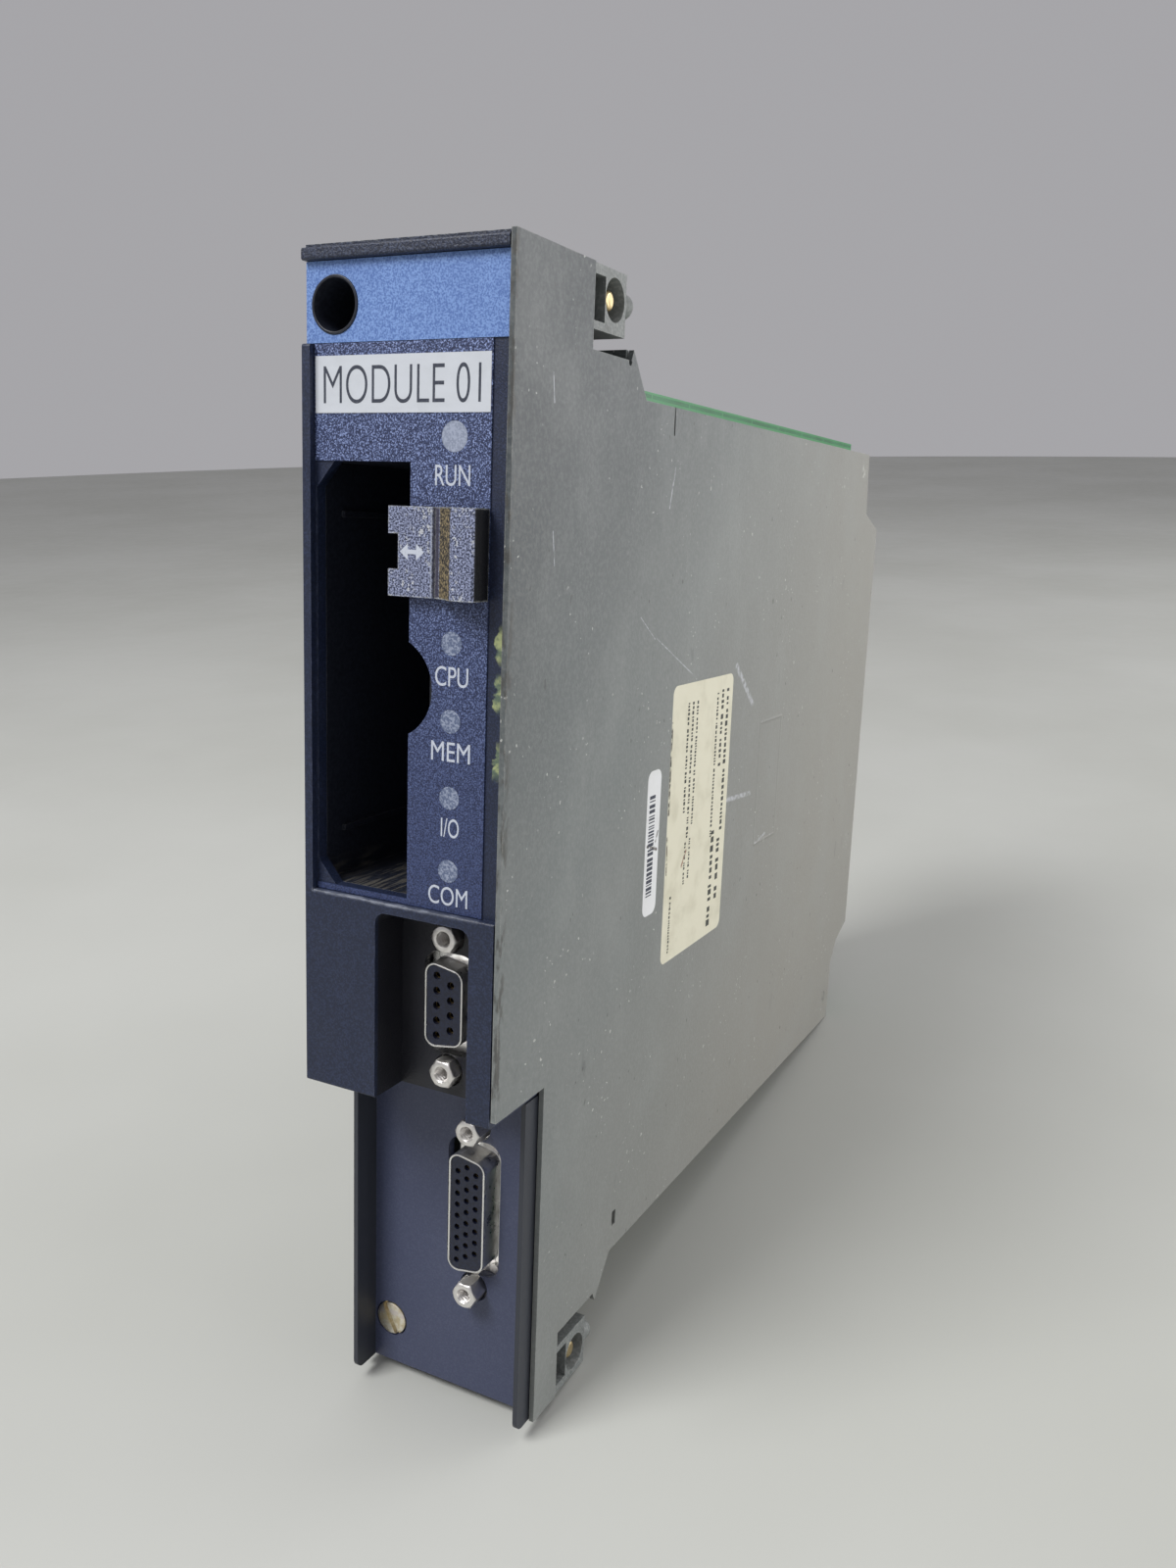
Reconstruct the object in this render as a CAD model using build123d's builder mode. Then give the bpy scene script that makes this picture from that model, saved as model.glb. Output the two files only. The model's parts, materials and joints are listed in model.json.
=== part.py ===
"""Rack-mounted controller processor module, in millimetres.

X runs across the module, Y runs from the front face back into the rack, Z runs up. The origin is under
the middle of the module, at the level of its lowest edge.
"""
from build123d import *
from math import radians, tan
import os

os.makedirs("parts", exist_ok=True)

# ---------------------------------------------------------------- driving dimensions
WIDTH = 40.0            # over both side covers
HEIGHT = 209.5          # over both fixing lugs
DEPTH = 214.3           # front frame to the rear edge of the covers
GRIP_PROUD = 3.5        # latch grip in front of the front frame
SHEET = 1.0             # steel sheet of the covers
BOARD = 1.6             # printed circuit board
WALL = 0.7              # moulded wall of the cartridge pocket
GAP = 0.1               # assembly gap between fixed pieces
SWEEP_GAP = 0.25        # clearance round a moving piece

LEFT, RIGHT = -WIDTH / 2, WIDTH / 2
FRONT = -(DEPTH - GRIP_PROUD) / 2
MID_HEIGHT = HEIGHT / 2

# levels, upwards from the lowest edge
BLOCK_FOOT = 66.7       # underside of the forward block
LEDGE = 102.9           # ledge under the indicator face
BAND_FOOT, BAND_TOP = 194.4, 206.9
POCKET_FOOT, POCKET_TOP = 104.0, 176.0
NOTCH_RISE = 13.8       # height of the rack rail notches
BODY_INSET = 19.8       # rear housing edge, in from top and bottom

# depths, back from the front frame
FACE = 1.45             # indicator face, behind the frame
FILM = 0.25             # thickness of the printed film on it
WALL_BACK = 3.6         # back of the front wall
PORT_FLOOR = 8.3        # floor of the upper port recess
BLOCK_BACK = 16.4       # back of the forward block
COVER_LIP = 16.7        # front edge of the covers beside the lower panel
PANEL = 18.5            # face of the lower panel
PANEL_WALL = 12.4       # front edge of the lower panel's side walls
NOTCH_FRONT, NOTCH_BACK = 25.4, 40.3
LUG_BACK = 37.5
CARD_FRONT, CARD_BACK = 22.0, 209.0
POCKET_BACK = 66.0
SLOPE = [(41.2, 11.9), (47.3, BODY_INSET)]  # slope behind a rail notch: depth, inset from above or below
REAR_CORNER = 200.0     # depth of the covers' short rear edges, at top and bottom
UPPER_CUT = [(201.5, HEIGHT - 36.3), (DEPTH, HEIGHT - 40.6)]
LOWER_CUT = [(DEPTH, 46.9), (205.0, 43.3), (200.5, 37.5)]

# across
CARD_X = 10.2           # left face of the main board
POCKET_LEFT, POCKET_RIGHT = -18.1, 0.7
PORT_X = 5.0            # both ports and their jack nuts
LAMP_X = 8.9
SCREW_X = -14.2         # both fixing screws
SCREW_INSET = 9.3       # screw axes, in from top and bottom
SCREW_R = 2.0           # M4
HEAD_R, HEAD_T = 3.4, 2.2
ACCESS_R = 4.1          # screwdriver hole

# ports
PORT9_Z, PORT9_PITCH, PORT9_NUTS = 83.7, 2.77, 24.99
PORT26_Z, PORT26_PITCH, PORT26_NUTS = 39.35, 2.29, 33.32
SHELL_WIDTH = 7.9
SHELL9_LENGTH, SHELL26_LENGTH = 16.3, 24.7
NUT_FLATS, NUT_HOLE_R = 4.75, 1.15

# latch
LATCH_X = (-2.3, 15.7)
LATCH_Z = (154.9, 169.1)
LATCH_TRAVEL = 3.0
PRONG, PRONG_WIDE = 1.9, 4.3


def at_depth(depth):
    """Plane facing forwards, this far behind the front frame; a sketch on it is drawn in X and Z."""
    return Plane.XZ.offset(-(FRONT + depth))


def block(x, depth, z, mode=Mode.ADD):
    """Box from its range across, its range of depth and its range of height."""
    middle = ((x[0] + x[1]) / 2, FRONT + (depth[0] + depth[1]) / 2, (z[0] + z[1]) / 2)
    with Locations(middle):
        Box(x[1] - x[0], depth[1] - depth[0], z[1] - z[0], mode=mode)


def rod(x, depth, z, radius, mode=Mode.ADD):
    """Round bar along Y from its axis and its range of depth."""
    middle = (x, FRONT + (depth[0] + depth[1]) / 2, z)
    with Locations(Location(middle, (90, 0, 0))):
        Cylinder(radius, depth[1] - depth[0], mode=mode)


def cross_rod(x, depth, z, radius, mode=Mode.ADD):
    """Round bar along X from its range across and its axis."""
    middle = ((x[0] + x[1]) / 2, FRONT + depth, z)
    with Locations(Location(middle, (0, 90, 0))):
        Cylinder(radius, x[1] - x[0], mode=mode)


def finish(builder, label):
    """Name the sub-part and write it."""
    builder.part.label = label
    export_step(builder.part, f"parts/{label}.step")


# ---------------------------------------------------------------- side covers
def cover_outline(front):
    """Corners of a cover in depth and height, from its front foot upwards; front is its foremost edge."""
    foot = BLOCK_FOOT + 1.5
    upper_slope = [(depth, HEIGHT - inset) for depth, inset in SLOPE]
    return [
        (front, foot), (front, HEIGHT), (NOTCH_FRONT, HEIGHT), (NOTCH_FRONT, HEIGHT - NOTCH_RISE),
        (NOTCH_BACK, HEIGHT - NOTCH_RISE), *upper_slope, (REAR_CORNER, HEIGHT - BODY_INSET), *UPPER_CUT,
        *LOWER_CUT, (REAR_CORNER, BODY_INSET), *reversed(SLOPE), (NOTCH_BACK, NOTCH_RISE),
        (NOTCH_FRONT, NOTCH_RISE), (NOTCH_FRONT, 0), (COVER_LIP, 0), (COVER_LIP, foot),
    ]


def slope_folds(start):
    """Sections of the upper and the lower strip folded over the slopes, from this share of the slope on."""
    (front, front_inset), (back, back_inset) = SLOPE
    head = (front + start * (back - front), front_inset + start * (back_inset - front_inset))
    shift, drop = FOLD_SHIFT
    lower = [head, (back, back_inset), (back - shift, back_inset + drop), (head[0] - shift, head[1] + drop)]
    upper = [(depth, HEIGHT - inset) for depth, inset in lower]
    return upper, lower


def to_plane(corners):
    """Move outline corners from depth behind the front frame to Y."""
    return [(FRONT + depth, z) for depth, z in corners]


RIVETS = [(195.6, HEIGHT - 24.6), (195.6, 27.5)]        # depth and height of the rear corner rivets
RIVET_R, RIVET_HEAD_R, RIVET_HEAD_T = 1.2, 1.8, 0.5
RIVET_LONG = 5.0
SPACER_R = 2.5
SPEC_LABEL = ((66.6, 100.6), (76.0, 135.7))             # depth range, height range
BAR_LABEL = ((56.0, 62.5), (89.3, 119.6))
LABEL_T, LABEL_ROUND = 0.12, 2.0
RIGHT_FLANGE = CARD_X + BOARD + 0.4                     # inner ends of the folded flanges
LEFT_FLANGE = CARD_X - 0.4
FOLD_FRONT, FOLD_BACK = 46.6, REAR_CORNER - 1.5
FOLD_SHIFT = (0.8, 0.6)                                 # square to the sloping edge, one sheet thick
REAR_FOLDS = ((BODY_INSET, 37.0), (HEIGHT - 36.0, HEIGHT - BODY_INSET))
SLIT = (60.3, 60.9)                                     # relief slit through the top fold
SLOT_DEPTH, SLOT_RISE = (48.0, 49.6), (25.0, 28.2)      # small slot above the lower notch


def label_shape(label, thickness, mode=Mode.ADD):
    """Rounded sheet lying in its seat in the outer face of the right cover."""
    depth, z = label
    with BuildSketch(Plane.YZ.offset(RIGHT - LABEL_T)) as outline:
        with Locations((FRONT + (depth[0] + depth[1]) / 2, (z[0] + z[1]) / 2)):
            RectangleRounded(depth[1] - depth[0], z[1] - z[0], LABEL_ROUND)
    extrude(outline.sketch, amount=thickness, mode=mode)


with BuildPart() as right_cover:
    with BuildSketch(Plane.YZ.offset(RIGHT - SHEET)):
        with BuildLine():
            Polyline(*to_plane(cover_outline(0.0)), close=True)
        make_face()
    extrude(amount=SHEET)
    flange_x = (RIGHT_FLANGE, RIGHT - SHEET / 2)
    for low in (BODY_INSET, HEIGHT - BODY_INSET - SHEET):
        block(flange_x, (FOLD_FRONT, FOLD_BACK), (low, low + SHEET))
    for heights in REAR_FOLDS:
        block(flange_x, (FOLD_BACK, FOLD_BACK + SHEET), heights)
    for corners in slope_folds(0.16):
        with BuildSketch(Plane.YZ.offset(flange_x[0])):
            with BuildLine():
                Polyline(*to_plane(corners), close=True)
            make_face()
        extrude(amount=flange_x[1] - flange_x[0])
    # seats of the two labels
    for label in (SPEC_LABEL, BAR_LABEL):
        label_shape(label, 1.0, mode=Mode.SUBTRACT)
    # relief slit of the top fold, slot near the lower notch, drilled relief at the upper notch
    block((RIGHT_FLANGE - 1, RIGHT + 1), SLIT, (HEIGHT - 25.0, HEIGHT), mode=Mode.SUBTRACT)
    block((RIGHT - 2, RIGHT + 1), SLOT_DEPTH, SLOT_RISE, mode=Mode.SUBTRACT)
    cross_rod((RIGHT - 2, RIGHT + 1), NOTCH_BACK - 0.4, HEIGHT - NOTCH_RISE - 0.3, 0.6, mode=Mode.SUBTRACT)
    for depth, z in RIVETS:
        cross_rod((RIGHT - 2, RIGHT + 1), depth, z, RIVET_R, mode=Mode.SUBTRACT)
        cross_rod((RIGHT - RIVET_HEAD_T, RIGHT + 1), depth, z, RIVET_HEAD_R, mode=Mode.SUBTRACT)
finish(right_cover, "right_cover")

VENT_COUNT, VENT_PITCH, VENT_START = 11, 12.0, 66.0
VENT_X = (-13.0, 3.0)
VENT_WIDTH = 4.0
BOSS_R = 3.3

with BuildPart() as left_cover:
    with BuildSketch(Plane.YZ.offset(LEFT)):
        with BuildLine():
            Polyline(*to_plane(cover_outline(COVER_LIP)[1:-1]), close=True)
        make_face()
    extrude(amount=SHEET)
    flange_x = (LEFT + SHEET / 2, LEFT_FLANGE)
    for low in (BODY_INSET, HEIGHT - BODY_INSET - SHEET):
        block(flange_x, (FOLD_FRONT, FOLD_BACK), (low, low + SHEET))
    for heights in REAR_FOLDS:
        block(flange_x, (FOLD_BACK, FOLD_BACK + SHEET), heights)
    for corners in slope_folds(0.0):
        with BuildSketch(Plane.YZ.offset(flange_x[0])):
            with BuildLine():
                Polyline(*to_plane(corners), close=True)
            make_face()
        extrude(amount=flange_x[1] - flange_x[0])
    # folded floor and back of each rack rail notch, right across the module
    notch_x = (LEFT + SHEET / 2, RIGHT - SHEET - GAP)
    notch_end, notch_lip = SLOPE[0]
    for floor_z in (HEIGHT - NOTCH_RISE - SHEET, NOTCH_RISE):
        block(notch_x, (NOTCH_FRONT, notch_end), (floor_z, floor_z + SHEET))
    for heights in ((HEIGHT - NOTCH_RISE - SHEET, HEIGHT - notch_lip), (notch_lip, NOTCH_RISE + SHEET)):
        block(notch_x, (NOTCH_BACK, notch_end), heights)
    # room in the fold for the rail's threaded boss round each screw
    for z in (SCREW_INSET, HEIGHT - SCREW_INSET):
        rod(SCREW_X, (NOTCH_BACK - 1, notch_end + 1), z, BOSS_R, mode=Mode.SUBTRACT)
    # cooling slots
    for index in range(VENT_COUNT):
        start = VENT_START + index * VENT_PITCH
        for low in (BODY_INSET - 1, HEIGHT - BODY_INSET - SHEET - 1):
            block(VENT_X, (start, start + VENT_WIDTH), (low, low + SHEET + 2), mode=Mode.SUBTRACT)
    for depth, z in RIVETS:
        cross_rod((LEFT - 1, LEFT + 2), depth, z, RIVET_R, mode=Mode.SUBTRACT)
        cross_rod((LEFT - 1, LEFT + RIVET_HEAD_T), depth, z, RIVET_HEAD_R, mode=Mode.SUBTRACT)
finish(left_cover, "left_cover")

with BuildPart() as cover_rivets:
    for side in (-1, 1):
        for depth, z in RIVETS:
            outer, inner, neck = side * RIGHT, side * (RIGHT - RIVET_LONG), side * (RIGHT - RIVET_HEAD_T)
            cross_rod(sorted((outer, neck)), depth, z, RIVET_HEAD_R)
            cross_rod(sorted((outer, inner)), depth, z, RIVET_R)
finish(cover_rivets, "cover_rivets")

with BuildPart() as board_spacers:
    for depth, z in RIVETS:
        for low, high in ((LEFT + SHEET, CARD_X), (CARD_X + BOARD, RIGHT - SHEET)):
            cross_rod((low, high), depth, z, SPACER_R)
        cross_rod((LEFT, LEFT + RIVET_LONG), depth, z, RIVET_R, mode=Mode.SUBTRACT)
        cross_rod((RIGHT - RIVET_LONG, RIGHT), depth, z, RIVET_R, mode=Mode.SUBTRACT)
finish(board_spacers, "board_spacers")

# ---------------------------------------------------------------- forward block: cap, bezel and its trim
BEZEL_RIGHT = 18.7
CAP_T = 1.8
WALL_FRONT = 1.6        # side walls of the forward block start inside the front wall
RAIL_RIGHT = -18.4      # inner face of the raised left rail
SIDE_WALL = 1.1

with BuildPart() as top_cap:
    block((LEFT, BEZEL_RIGHT), (0.0, 3.0), (BAND_TOP + GAP, HEIGHT - 0.6))
    block((LEFT, BEZEL_RIGHT), (1.2, BLOCK_BACK), (HEIGHT - CAP_T, HEIGHT))
    block((LEFT + SHEET + GAP, BEZEL_RIGHT), (BLOCK_BACK, NOTCH_FRONT), (HEIGHT - CAP_T, HEIGHT))
    lip_edges = top_cap.edges().filter_by(Axis.X).group_by(Axis.Y)[0]
    fillet(lip_edges, 0.4)
finish(top_cap, "top_cap")

RECESS_X = (-5.0, 14.0)
RECESS_TOP, RECESS_ROUND = 101.0, 2.0
RECESS_WALL = 1.2
FLOOR_T = 2.0                       # moulded floor that carries a port
OPENING_ROUND = 3.0                 # corners of the openings round the port shells
NUT_CLEARANCE = 3.0
SCALLOP_R, SCALLOP_Z, SCALLOP_DEEP = 8.5, 139.9, 4.6
SCOOP_BACK = 7.4
GUSSET = 3.6
SLOT_X = (6.1, 15.0)                # latch slot in the front wall
SLOT_Z = (157.9, 166.1)
LAMP_LEVELS = {"run": 179.9, "processor": 147.8, "memory": 135.2, "io": 122.5, "link": 110.1}
RUN_LAMP_R, LAMP_R = 2.4, 1.95
STEP_TOP = BAND_FOOT - GAP

with BuildPart() as front_bezel:
    # front wall: indicator face, set back between the left rail, the ledge and the cap
    block((LEFT, BEZEL_RIGHT), (FACE, WALL_BACK), (BLOCK_FOOT, BAND_TOP))
    block((LEFT, BEZEL_RIGHT), (0.0, WALL_BACK), (BLOCK_FOOT, LEDGE))
    block((LEFT, RAIL_RIGHT), (0.0, WALL_BACK), (BLOCK_FOOT, STEP_TOP))
    rounded = front_bezel.edges().filter_by(Axis.X).group_by(Axis.Y)[0]
    fillet(rounded, 0.5)
    # side, top and bottom walls
    block((LEFT, LEFT + SIDE_WALL), (WALL_FRONT, BLOCK_BACK), (BLOCK_FOOT, BAND_TOP))
    block((BEZEL_RIGHT - SIDE_WALL, BEZEL_RIGHT), (WALL_FRONT, BLOCK_BACK), (BLOCK_FOOT, BAND_TOP))
    block((LEFT, BEZEL_RIGHT), (WALL_FRONT, BLOCK_BACK), (BLOCK_FOOT, BLOCK_FOOT + 1.5))
    block((LEFT, BEZEL_RIGHT), (WALL_FRONT, BLOCK_BACK), (BAND_TOP - 1.2, BAND_TOP))
    # port recess: a box let into the front, open at the foot
    box_x = (RECESS_X[0] - RECESS_WALL, RECESS_X[1] + RECESS_WALL)
    block(box_x, (WALL_FRONT, PORT_FLOOR + FLOOR_T), (BLOCK_FOOT, RECESS_TOP + RECESS_WALL))
    with BuildSketch(at_depth(-1)):
        with Locations(((RECESS_X[0] + RECESS_X[1]) / 2, BLOCK_FOOT - 5)):
            Rectangle(RECESS_X[1] - RECESS_X[0], RECESS_TOP - BLOCK_FOOT + 5, align=(Align.CENTER, Align.MIN))
        fillet(vertices().group_by(Axis.Y)[-1], RECESS_ROUND)
    extrude(amount=-(PORT_FLOOR + 1), mode=Mode.SUBTRACT)
    # openings in the recess floor for the port shell and its two nuts
    with BuildSketch(at_depth(PORT_FLOOR - 1)):
        with Locations((PORT_X + 0.1, PORT9_Z)):
            RectangleRounded(10.6, 18.8, OPENING_ROUND)
        for side in (-1, 1):
            with Locations((PORT_X, PORT9_Z + side * PORT9_NUTS / 2)):
                Circle(NUT_CLEARANCE)
    extrude(amount=-4, mode=Mode.SUBTRACT)
    # mouth of the cartridge pocket, with gussets in its two left corners
    with BuildSketch(at_depth(-1)):
        with BuildLine():
            Polyline(
                (POCKET_RIGHT, POCKET_FOOT), (POCKET_RIGHT, POCKET_TOP), (POCKET_LEFT + GUSSET, POCKET_TOP),
                (POCKET_LEFT, POCKET_TOP - GUSSET * 1.15), (POCKET_LEFT, POCKET_FOOT + GUSSET * 1.15),
                (POCKET_LEFT + GUSSET, POCKET_FOOT), close=True,
            )
        make_face()
        with Locations((POCKET_RIGHT + SCALLOP_DEEP - SCALLOP_R, SCALLOP_Z)):
            Circle(SCALLOP_R)
    extrude(amount=-(WALL_BACK + 2), mode=Mode.SUBTRACT)
    # latch slot, lamp holes and screwdriver hole
    block(SLOT_X, (0, WALL_BACK + 1), SLOT_Z, mode=Mode.SUBTRACT)
    for name, level in LAMP_LEVELS.items():
        radius = RUN_LAMP_R if name == "run" else LAMP_R
        rod(LAMP_X, (0, WALL_BACK + 1), level, radius, mode=Mode.SUBTRACT)
    rod(SCREW_X, (0, WALL_BACK + 1), HEIGHT - SCREW_INSET, ACCESS_R + 0.5, mode=Mode.SUBTRACT)
finish(front_bezel, "front_bezel")

with BuildPart() as name_band:
    block((LEFT + GAP, BEZEL_RIGHT - 0.3), (FACE - FILM, FACE), (BAND_FOOT, BAND_TOP))
    rod(SCREW_X, (0, WALL_BACK), HEIGHT - SCREW_INSET, ACCESS_R + 0.5, mode=Mode.SUBTRACT)
finish(name_band, "name_band")

FILM_RIGHT = 15.6
TITLE_X, TITLE_Z = (-18.1, 15.4), (183.5, 192.4)

with BuildPart() as indicator_overlay:
    block((RAIL_RIGHT + GAP, FILM_RIGHT), (FACE - FILM, FACE), (LEDGE + GAP, BAND_FOOT - GAP))
    with BuildSketch(at_depth(0)):
        with BuildLine():
            Polyline(
                (POCKET_RIGHT, POCKET_FOOT), (POCKET_RIGHT, POCKET_TOP), (LEFT, POCKET_TOP),
                (LEFT, POCKET_FOOT), close=True,
            )
        make_face()
        with Locations((POCKET_RIGHT + SCALLOP_DEEP - SCALLOP_R, SCALLOP_Z)):
            Circle(SCALLOP_R)
        with Locations(((SLOT_X[0] + SLOT_X[1]) / 2, (SLOT_Z[0] + SLOT_Z[1]) / 2)):
            Rectangle(SLOT_X[1] - SLOT_X[0], SLOT_Z[1] - SLOT_Z[0])
        for name, level in LAMP_LEVELS.items():
            with Locations((LAMP_X, level)):
                Circle(RUN_LAMP_R if name == "run" else LAMP_R)
    extrude(amount=-WALL_BACK, mode=Mode.SUBTRACT)
finish(indicator_overlay, "indicator_overlay")

with BuildPart() as title_label:
    block(TITLE_X, (FACE - FILM - 0.1, FACE - FILM), TITLE_Z)
finish(title_label, "title_label")

with BuildPart() as screw_sleeve:
    sleeve_z = HEIGHT - SCREW_INSET
    rod(SCREW_X, (1.0, 24.9), sleeve_z, ACCESS_R + 0.45)
    rod(SCREW_X, (0, 23.4), sleeve_z, ACCESS_R, mode=Mode.SUBTRACT)
    rod(SCREW_X, (20, 26), sleeve_z, SCREW_R + 0.4, mode=Mode.SUBTRACT)
finish(screw_sleeve, "screw_sleeve")

for name, level in LAMP_LEVELS.items():
    with BuildPart() as lamp:
        rod(LAMP_X, (FACE - FILM, WALL_BACK + 0.4), level, (RUN_LAMP_R if name == "run" else LAMP_R) - 0.03)
    finish(lamp, f"{name}_lamp")

INDICATOR_BOARD = 9.2

with BuildPart() as status_leds:
    for level in LAMP_LEVELS.values():
        rod(LAMP_X, (4.6, 7.6), level, 1.5)
        rod(LAMP_X, (7.6, INDICATOR_BOARD), level, 1.8)
        with Locations((LAMP_X, FRONT + 4.6, level)):
            Sphere(0.4)
finish(status_leds, "status_leds")

with BuildPart() as indicator_board:
    block((4.8, 13.2), (INDICATOR_BOARD, INDICATOR_BOARD + 1.2), (105.5, 186.0))
finish(indicator_board, "indicator_board")

# ---------------------------------------------------------------- cartridge pocket
with BuildPart() as cartridge_pocket:
    pocket_x = (POCKET_LEFT - WALL, POCKET_RIGHT + WALL)
    pocket_z = (POCKET_FOOT - WALL, POCKET_TOP + WALL)
    block(pocket_x, (WALL_BACK + GAP, POCKET_BACK + 1.2), pocket_z)
    block((POCKET_LEFT, POCKET_RIGHT), (0, POCKET_BACK), (POCKET_FOOT, POCKET_TOP), mode=Mode.SUBTRACT)
    # guide ribs for the cartridge, on the left and right walls
    for rib_z in (POCKET_FOOT + 8.0, POCKET_TOP - 9.0):
        block((POCKET_LEFT, POCKET_LEFT + 0.6), (8.0, POCKET_BACK), (rib_z, rib_z + 1.0))
        block((POCKET_RIGHT - 0.6, POCKET_RIGHT), (8.0, POCKET_BACK), (rib_z, rib_z + 1.0))
    # finger scoop behind the scallop of the front wall
    scoop_z = (SCALLOP_Z - SCALLOP_R - 1.0, SCALLOP_Z + SCALLOP_R + 1.0)
    block((POCKET_RIGHT, POCKET_RIGHT + SCALLOP_DEEP + WALL), (WALL_BACK + GAP, SCOOP_BACK + WALL), scoop_z)
    scoop_x = POCKET_RIGHT + SCALLOP_DEEP - SCALLOP_R
    rod(scoop_x, (0, SCOOP_BACK), SCALLOP_Z, SCALLOP_R, mode=Mode.SUBTRACT)
    # window for the socket
    block((-14.0, -3.4), (POCKET_BACK - 1, POCKET_BACK + 2), (112.0, 168.0), mode=Mode.SUBTRACT)
finish(cartridge_pocket, "cartridge_pocket")

SOCKET_ROWS, SOCKET_COLUMNS, SOCKET_PITCH = 20, 2, 2.54
SOCKET_X, SOCKET_Z = -8.7, 140.0

with BuildPart() as cartridge_socket:
    block((-13.9, -3.5), (60.0, POCKET_BACK + 1.3), (112.1, 167.9))
    with BuildSketch(at_depth(60.0)):
        with Locations((SOCKET_X, SOCKET_Z)):
            with GridLocations(SOCKET_PITCH, SOCKET_PITCH, SOCKET_COLUMNS, SOCKET_ROWS):
                Rectangle(1.1, 1.1)
    extrude(amount=-5.5, mode=Mode.SUBTRACT)
finish(cartridge_socket, "cartridge_socket")

with BuildPart() as socket_contacts:
    with BuildSketch(at_depth(61.0)):
        with Locations((SOCKET_X, SOCKET_Z)):
            with GridLocations(SOCKET_PITCH, SOCKET_PITCH, SOCKET_COLUMNS, SOCKET_ROWS):
                Rectangle(0.8, 0.8)
    extrude(amount=-4.5)
finish(socket_contacts, "socket_contacts")

with BuildPart() as riser_board:
    block((-16.5, CARD_X - 3.0), (POCKET_BACK + 1.3, POCKET_BACK + 2.9), (108.0, 172.0))
finish(riser_board, "riser_board")

with BuildPart() as riser_header:
    block((CARD_X - 2.9, CARD_X - 0.05), (POCKET_BACK - 1.4, POCKET_BACK + 5.0), (112.0, 168.0))
finish(riser_header, "riser_header")

# ---------------------------------------------------------------- cartridge latch
PLATE = (-0.5, FACE - FILM - SWEEP_GAP)          # depth range of the latch plate
SHOE_X = (4.6, 13.4)

with BuildPart() as cartridge_latch:
    with BuildSketch(Plane.XY.offset(LATCH_Z[0])):
        with BuildLine():
            Polyline(
                (LATCH_X[0], FRONT + PLATE[1]), (LATCH_X[0], FRONT + PLATE[0]), (6.1, FRONT + PLATE[0]),
                (6.4, FRONT + PLATE[0] + 0.45), (6.8, FRONT + PLATE[0]), (7.4, FRONT + PLATE[0]),
                (11.6, FRONT - GRIP_PROUD), (LATCH_X[1], FRONT - GRIP_PROUD), (LATCH_X[1], FRONT + PLATE[1]),
                close=True,
            )
        make_face()
    extrude(amount=LATCH_Z[1] - LATCH_Z[0])
    # notch between the two prongs
    notch_z = (LATCH_Z[0] + PRONG_WIDE, LATCH_Z[1] - PRONG_WIDE)
    block((LATCH_X[0] - 1, LATCH_X[0] + PRONG), (-5, 3), notch_z, mode=Mode.SUBTRACT)
    outer = cartridge_latch.edges().filter_by(Axis.Z).group_by(Axis.Y)[0]
    fillet(outer, 0.5)
    # stem through the slot
    block((SLOT_X[0] + 0.15, SLOT_X[1] - LATCH_TRAVEL - 0.15), (PLATE[1], WALL_BACK + 0.2),
          (SLOT_Z[0] + SWEEP_GAP, SLOT_Z[1] - SWEEP_GAP))
finish(cartridge_latch, "cartridge_latch")

with BuildPart() as latch_shoe:
    block(SHOE_X, (WALL_BACK + 0.2, WALL_BACK + 1.6), (LATCH_Z[0] + 0.6, LATCH_Z[1] - 0.6))
    with Locations(((SHOE_X[0] + SHOE_X[1]) / 2, FRONT + WALL_BACK + 0.9, LATCH_Z[1] - 0.6)):
        Box(2.0, 1.4, 0.8)
finish(latch_shoe, "latch_shoe")

LEAF_T = 0.4
LEAF_Z = LATCH_Z[1] + 0.6

with BuildPart() as latch_spring:
    # thin leaf over the shoe, with a foot on the back of the front wall
    with BuildSketch(at_depth(WALL_BACK + 0.05)):
        with BuildLine():
            level = LEAF_Z + LEAF_T / 2
            spine = Polyline((3.2, level + 1.0), (6.0, level), (15.2, level), (15.2, level + 4.8))
            offset(spine, amount=LEAF_T / 2)
        make_face()
    extrude(amount=-2.0)
finish(latch_spring, "latch_spring")

# ---------------------------------------------------------------- sub-miniature ports
NUT_FRONT_9, FLANGE_9 = 6.0, PORT_FLOOR + FLOOR_T + GAP
NUT_FRONT_26, FLANGE_26 = 14.8, PANEL + FLOOR_T + GAP
FLANGE_HALF_WIDTH, FLANGE_END = 5.0, 2.9                # round the middle, and past each nut
FLANGE_T = 0.8
BODY_LONG = 13.0
SHELL_T = 0.45
SLANT = radians(10)


def d_profile(plane, z, length, width, radius):
    """D-shaped outline of a port: its long side is on the left, its ends slant in to the right."""
    lean = width * tan(SLANT)
    with BuildSketch(plane) as profile:
        with BuildLine():
            Polyline(
                (PORT_X - width / 2, z - length / 2), (PORT_X + width / 2, z - length / 2 + lean),
                (PORT_X + width / 2, z + length / 2 - lean), (PORT_X - width / 2, z + length / 2), close=True,
            )
        make_face()
        fillet(profile.vertices(), radius)
    return profile.sketch


def jack_holes(z, spacing, radius, depth):
    """Clearance holes for the pair of jack nuts of a port."""
    for side in (-1, 1):
        rod(PORT_X, depth, z + side * spacing / 2, radius, mode=Mode.SUBTRACT)


def hole_places(name):
    """Contact places of a port, across and up from its middle."""
    if name == "port9":
        columns = ((-1.42, 5, 0.0), (1.42, 4, 0.0))
        pitch = PORT9_PITCH
    else:
        shift = PORT26_PITCH / 4
        columns = ((-1.98, 9, -shift), (0.0, 9, shift), (1.98, 8, shift))
        pitch = PORT26_PITCH
    return [
        (x, (row - (count - 1) / 2) * pitch + rise)
        for x, count, rise in columns
        for row in range(count)
    ]


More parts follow.
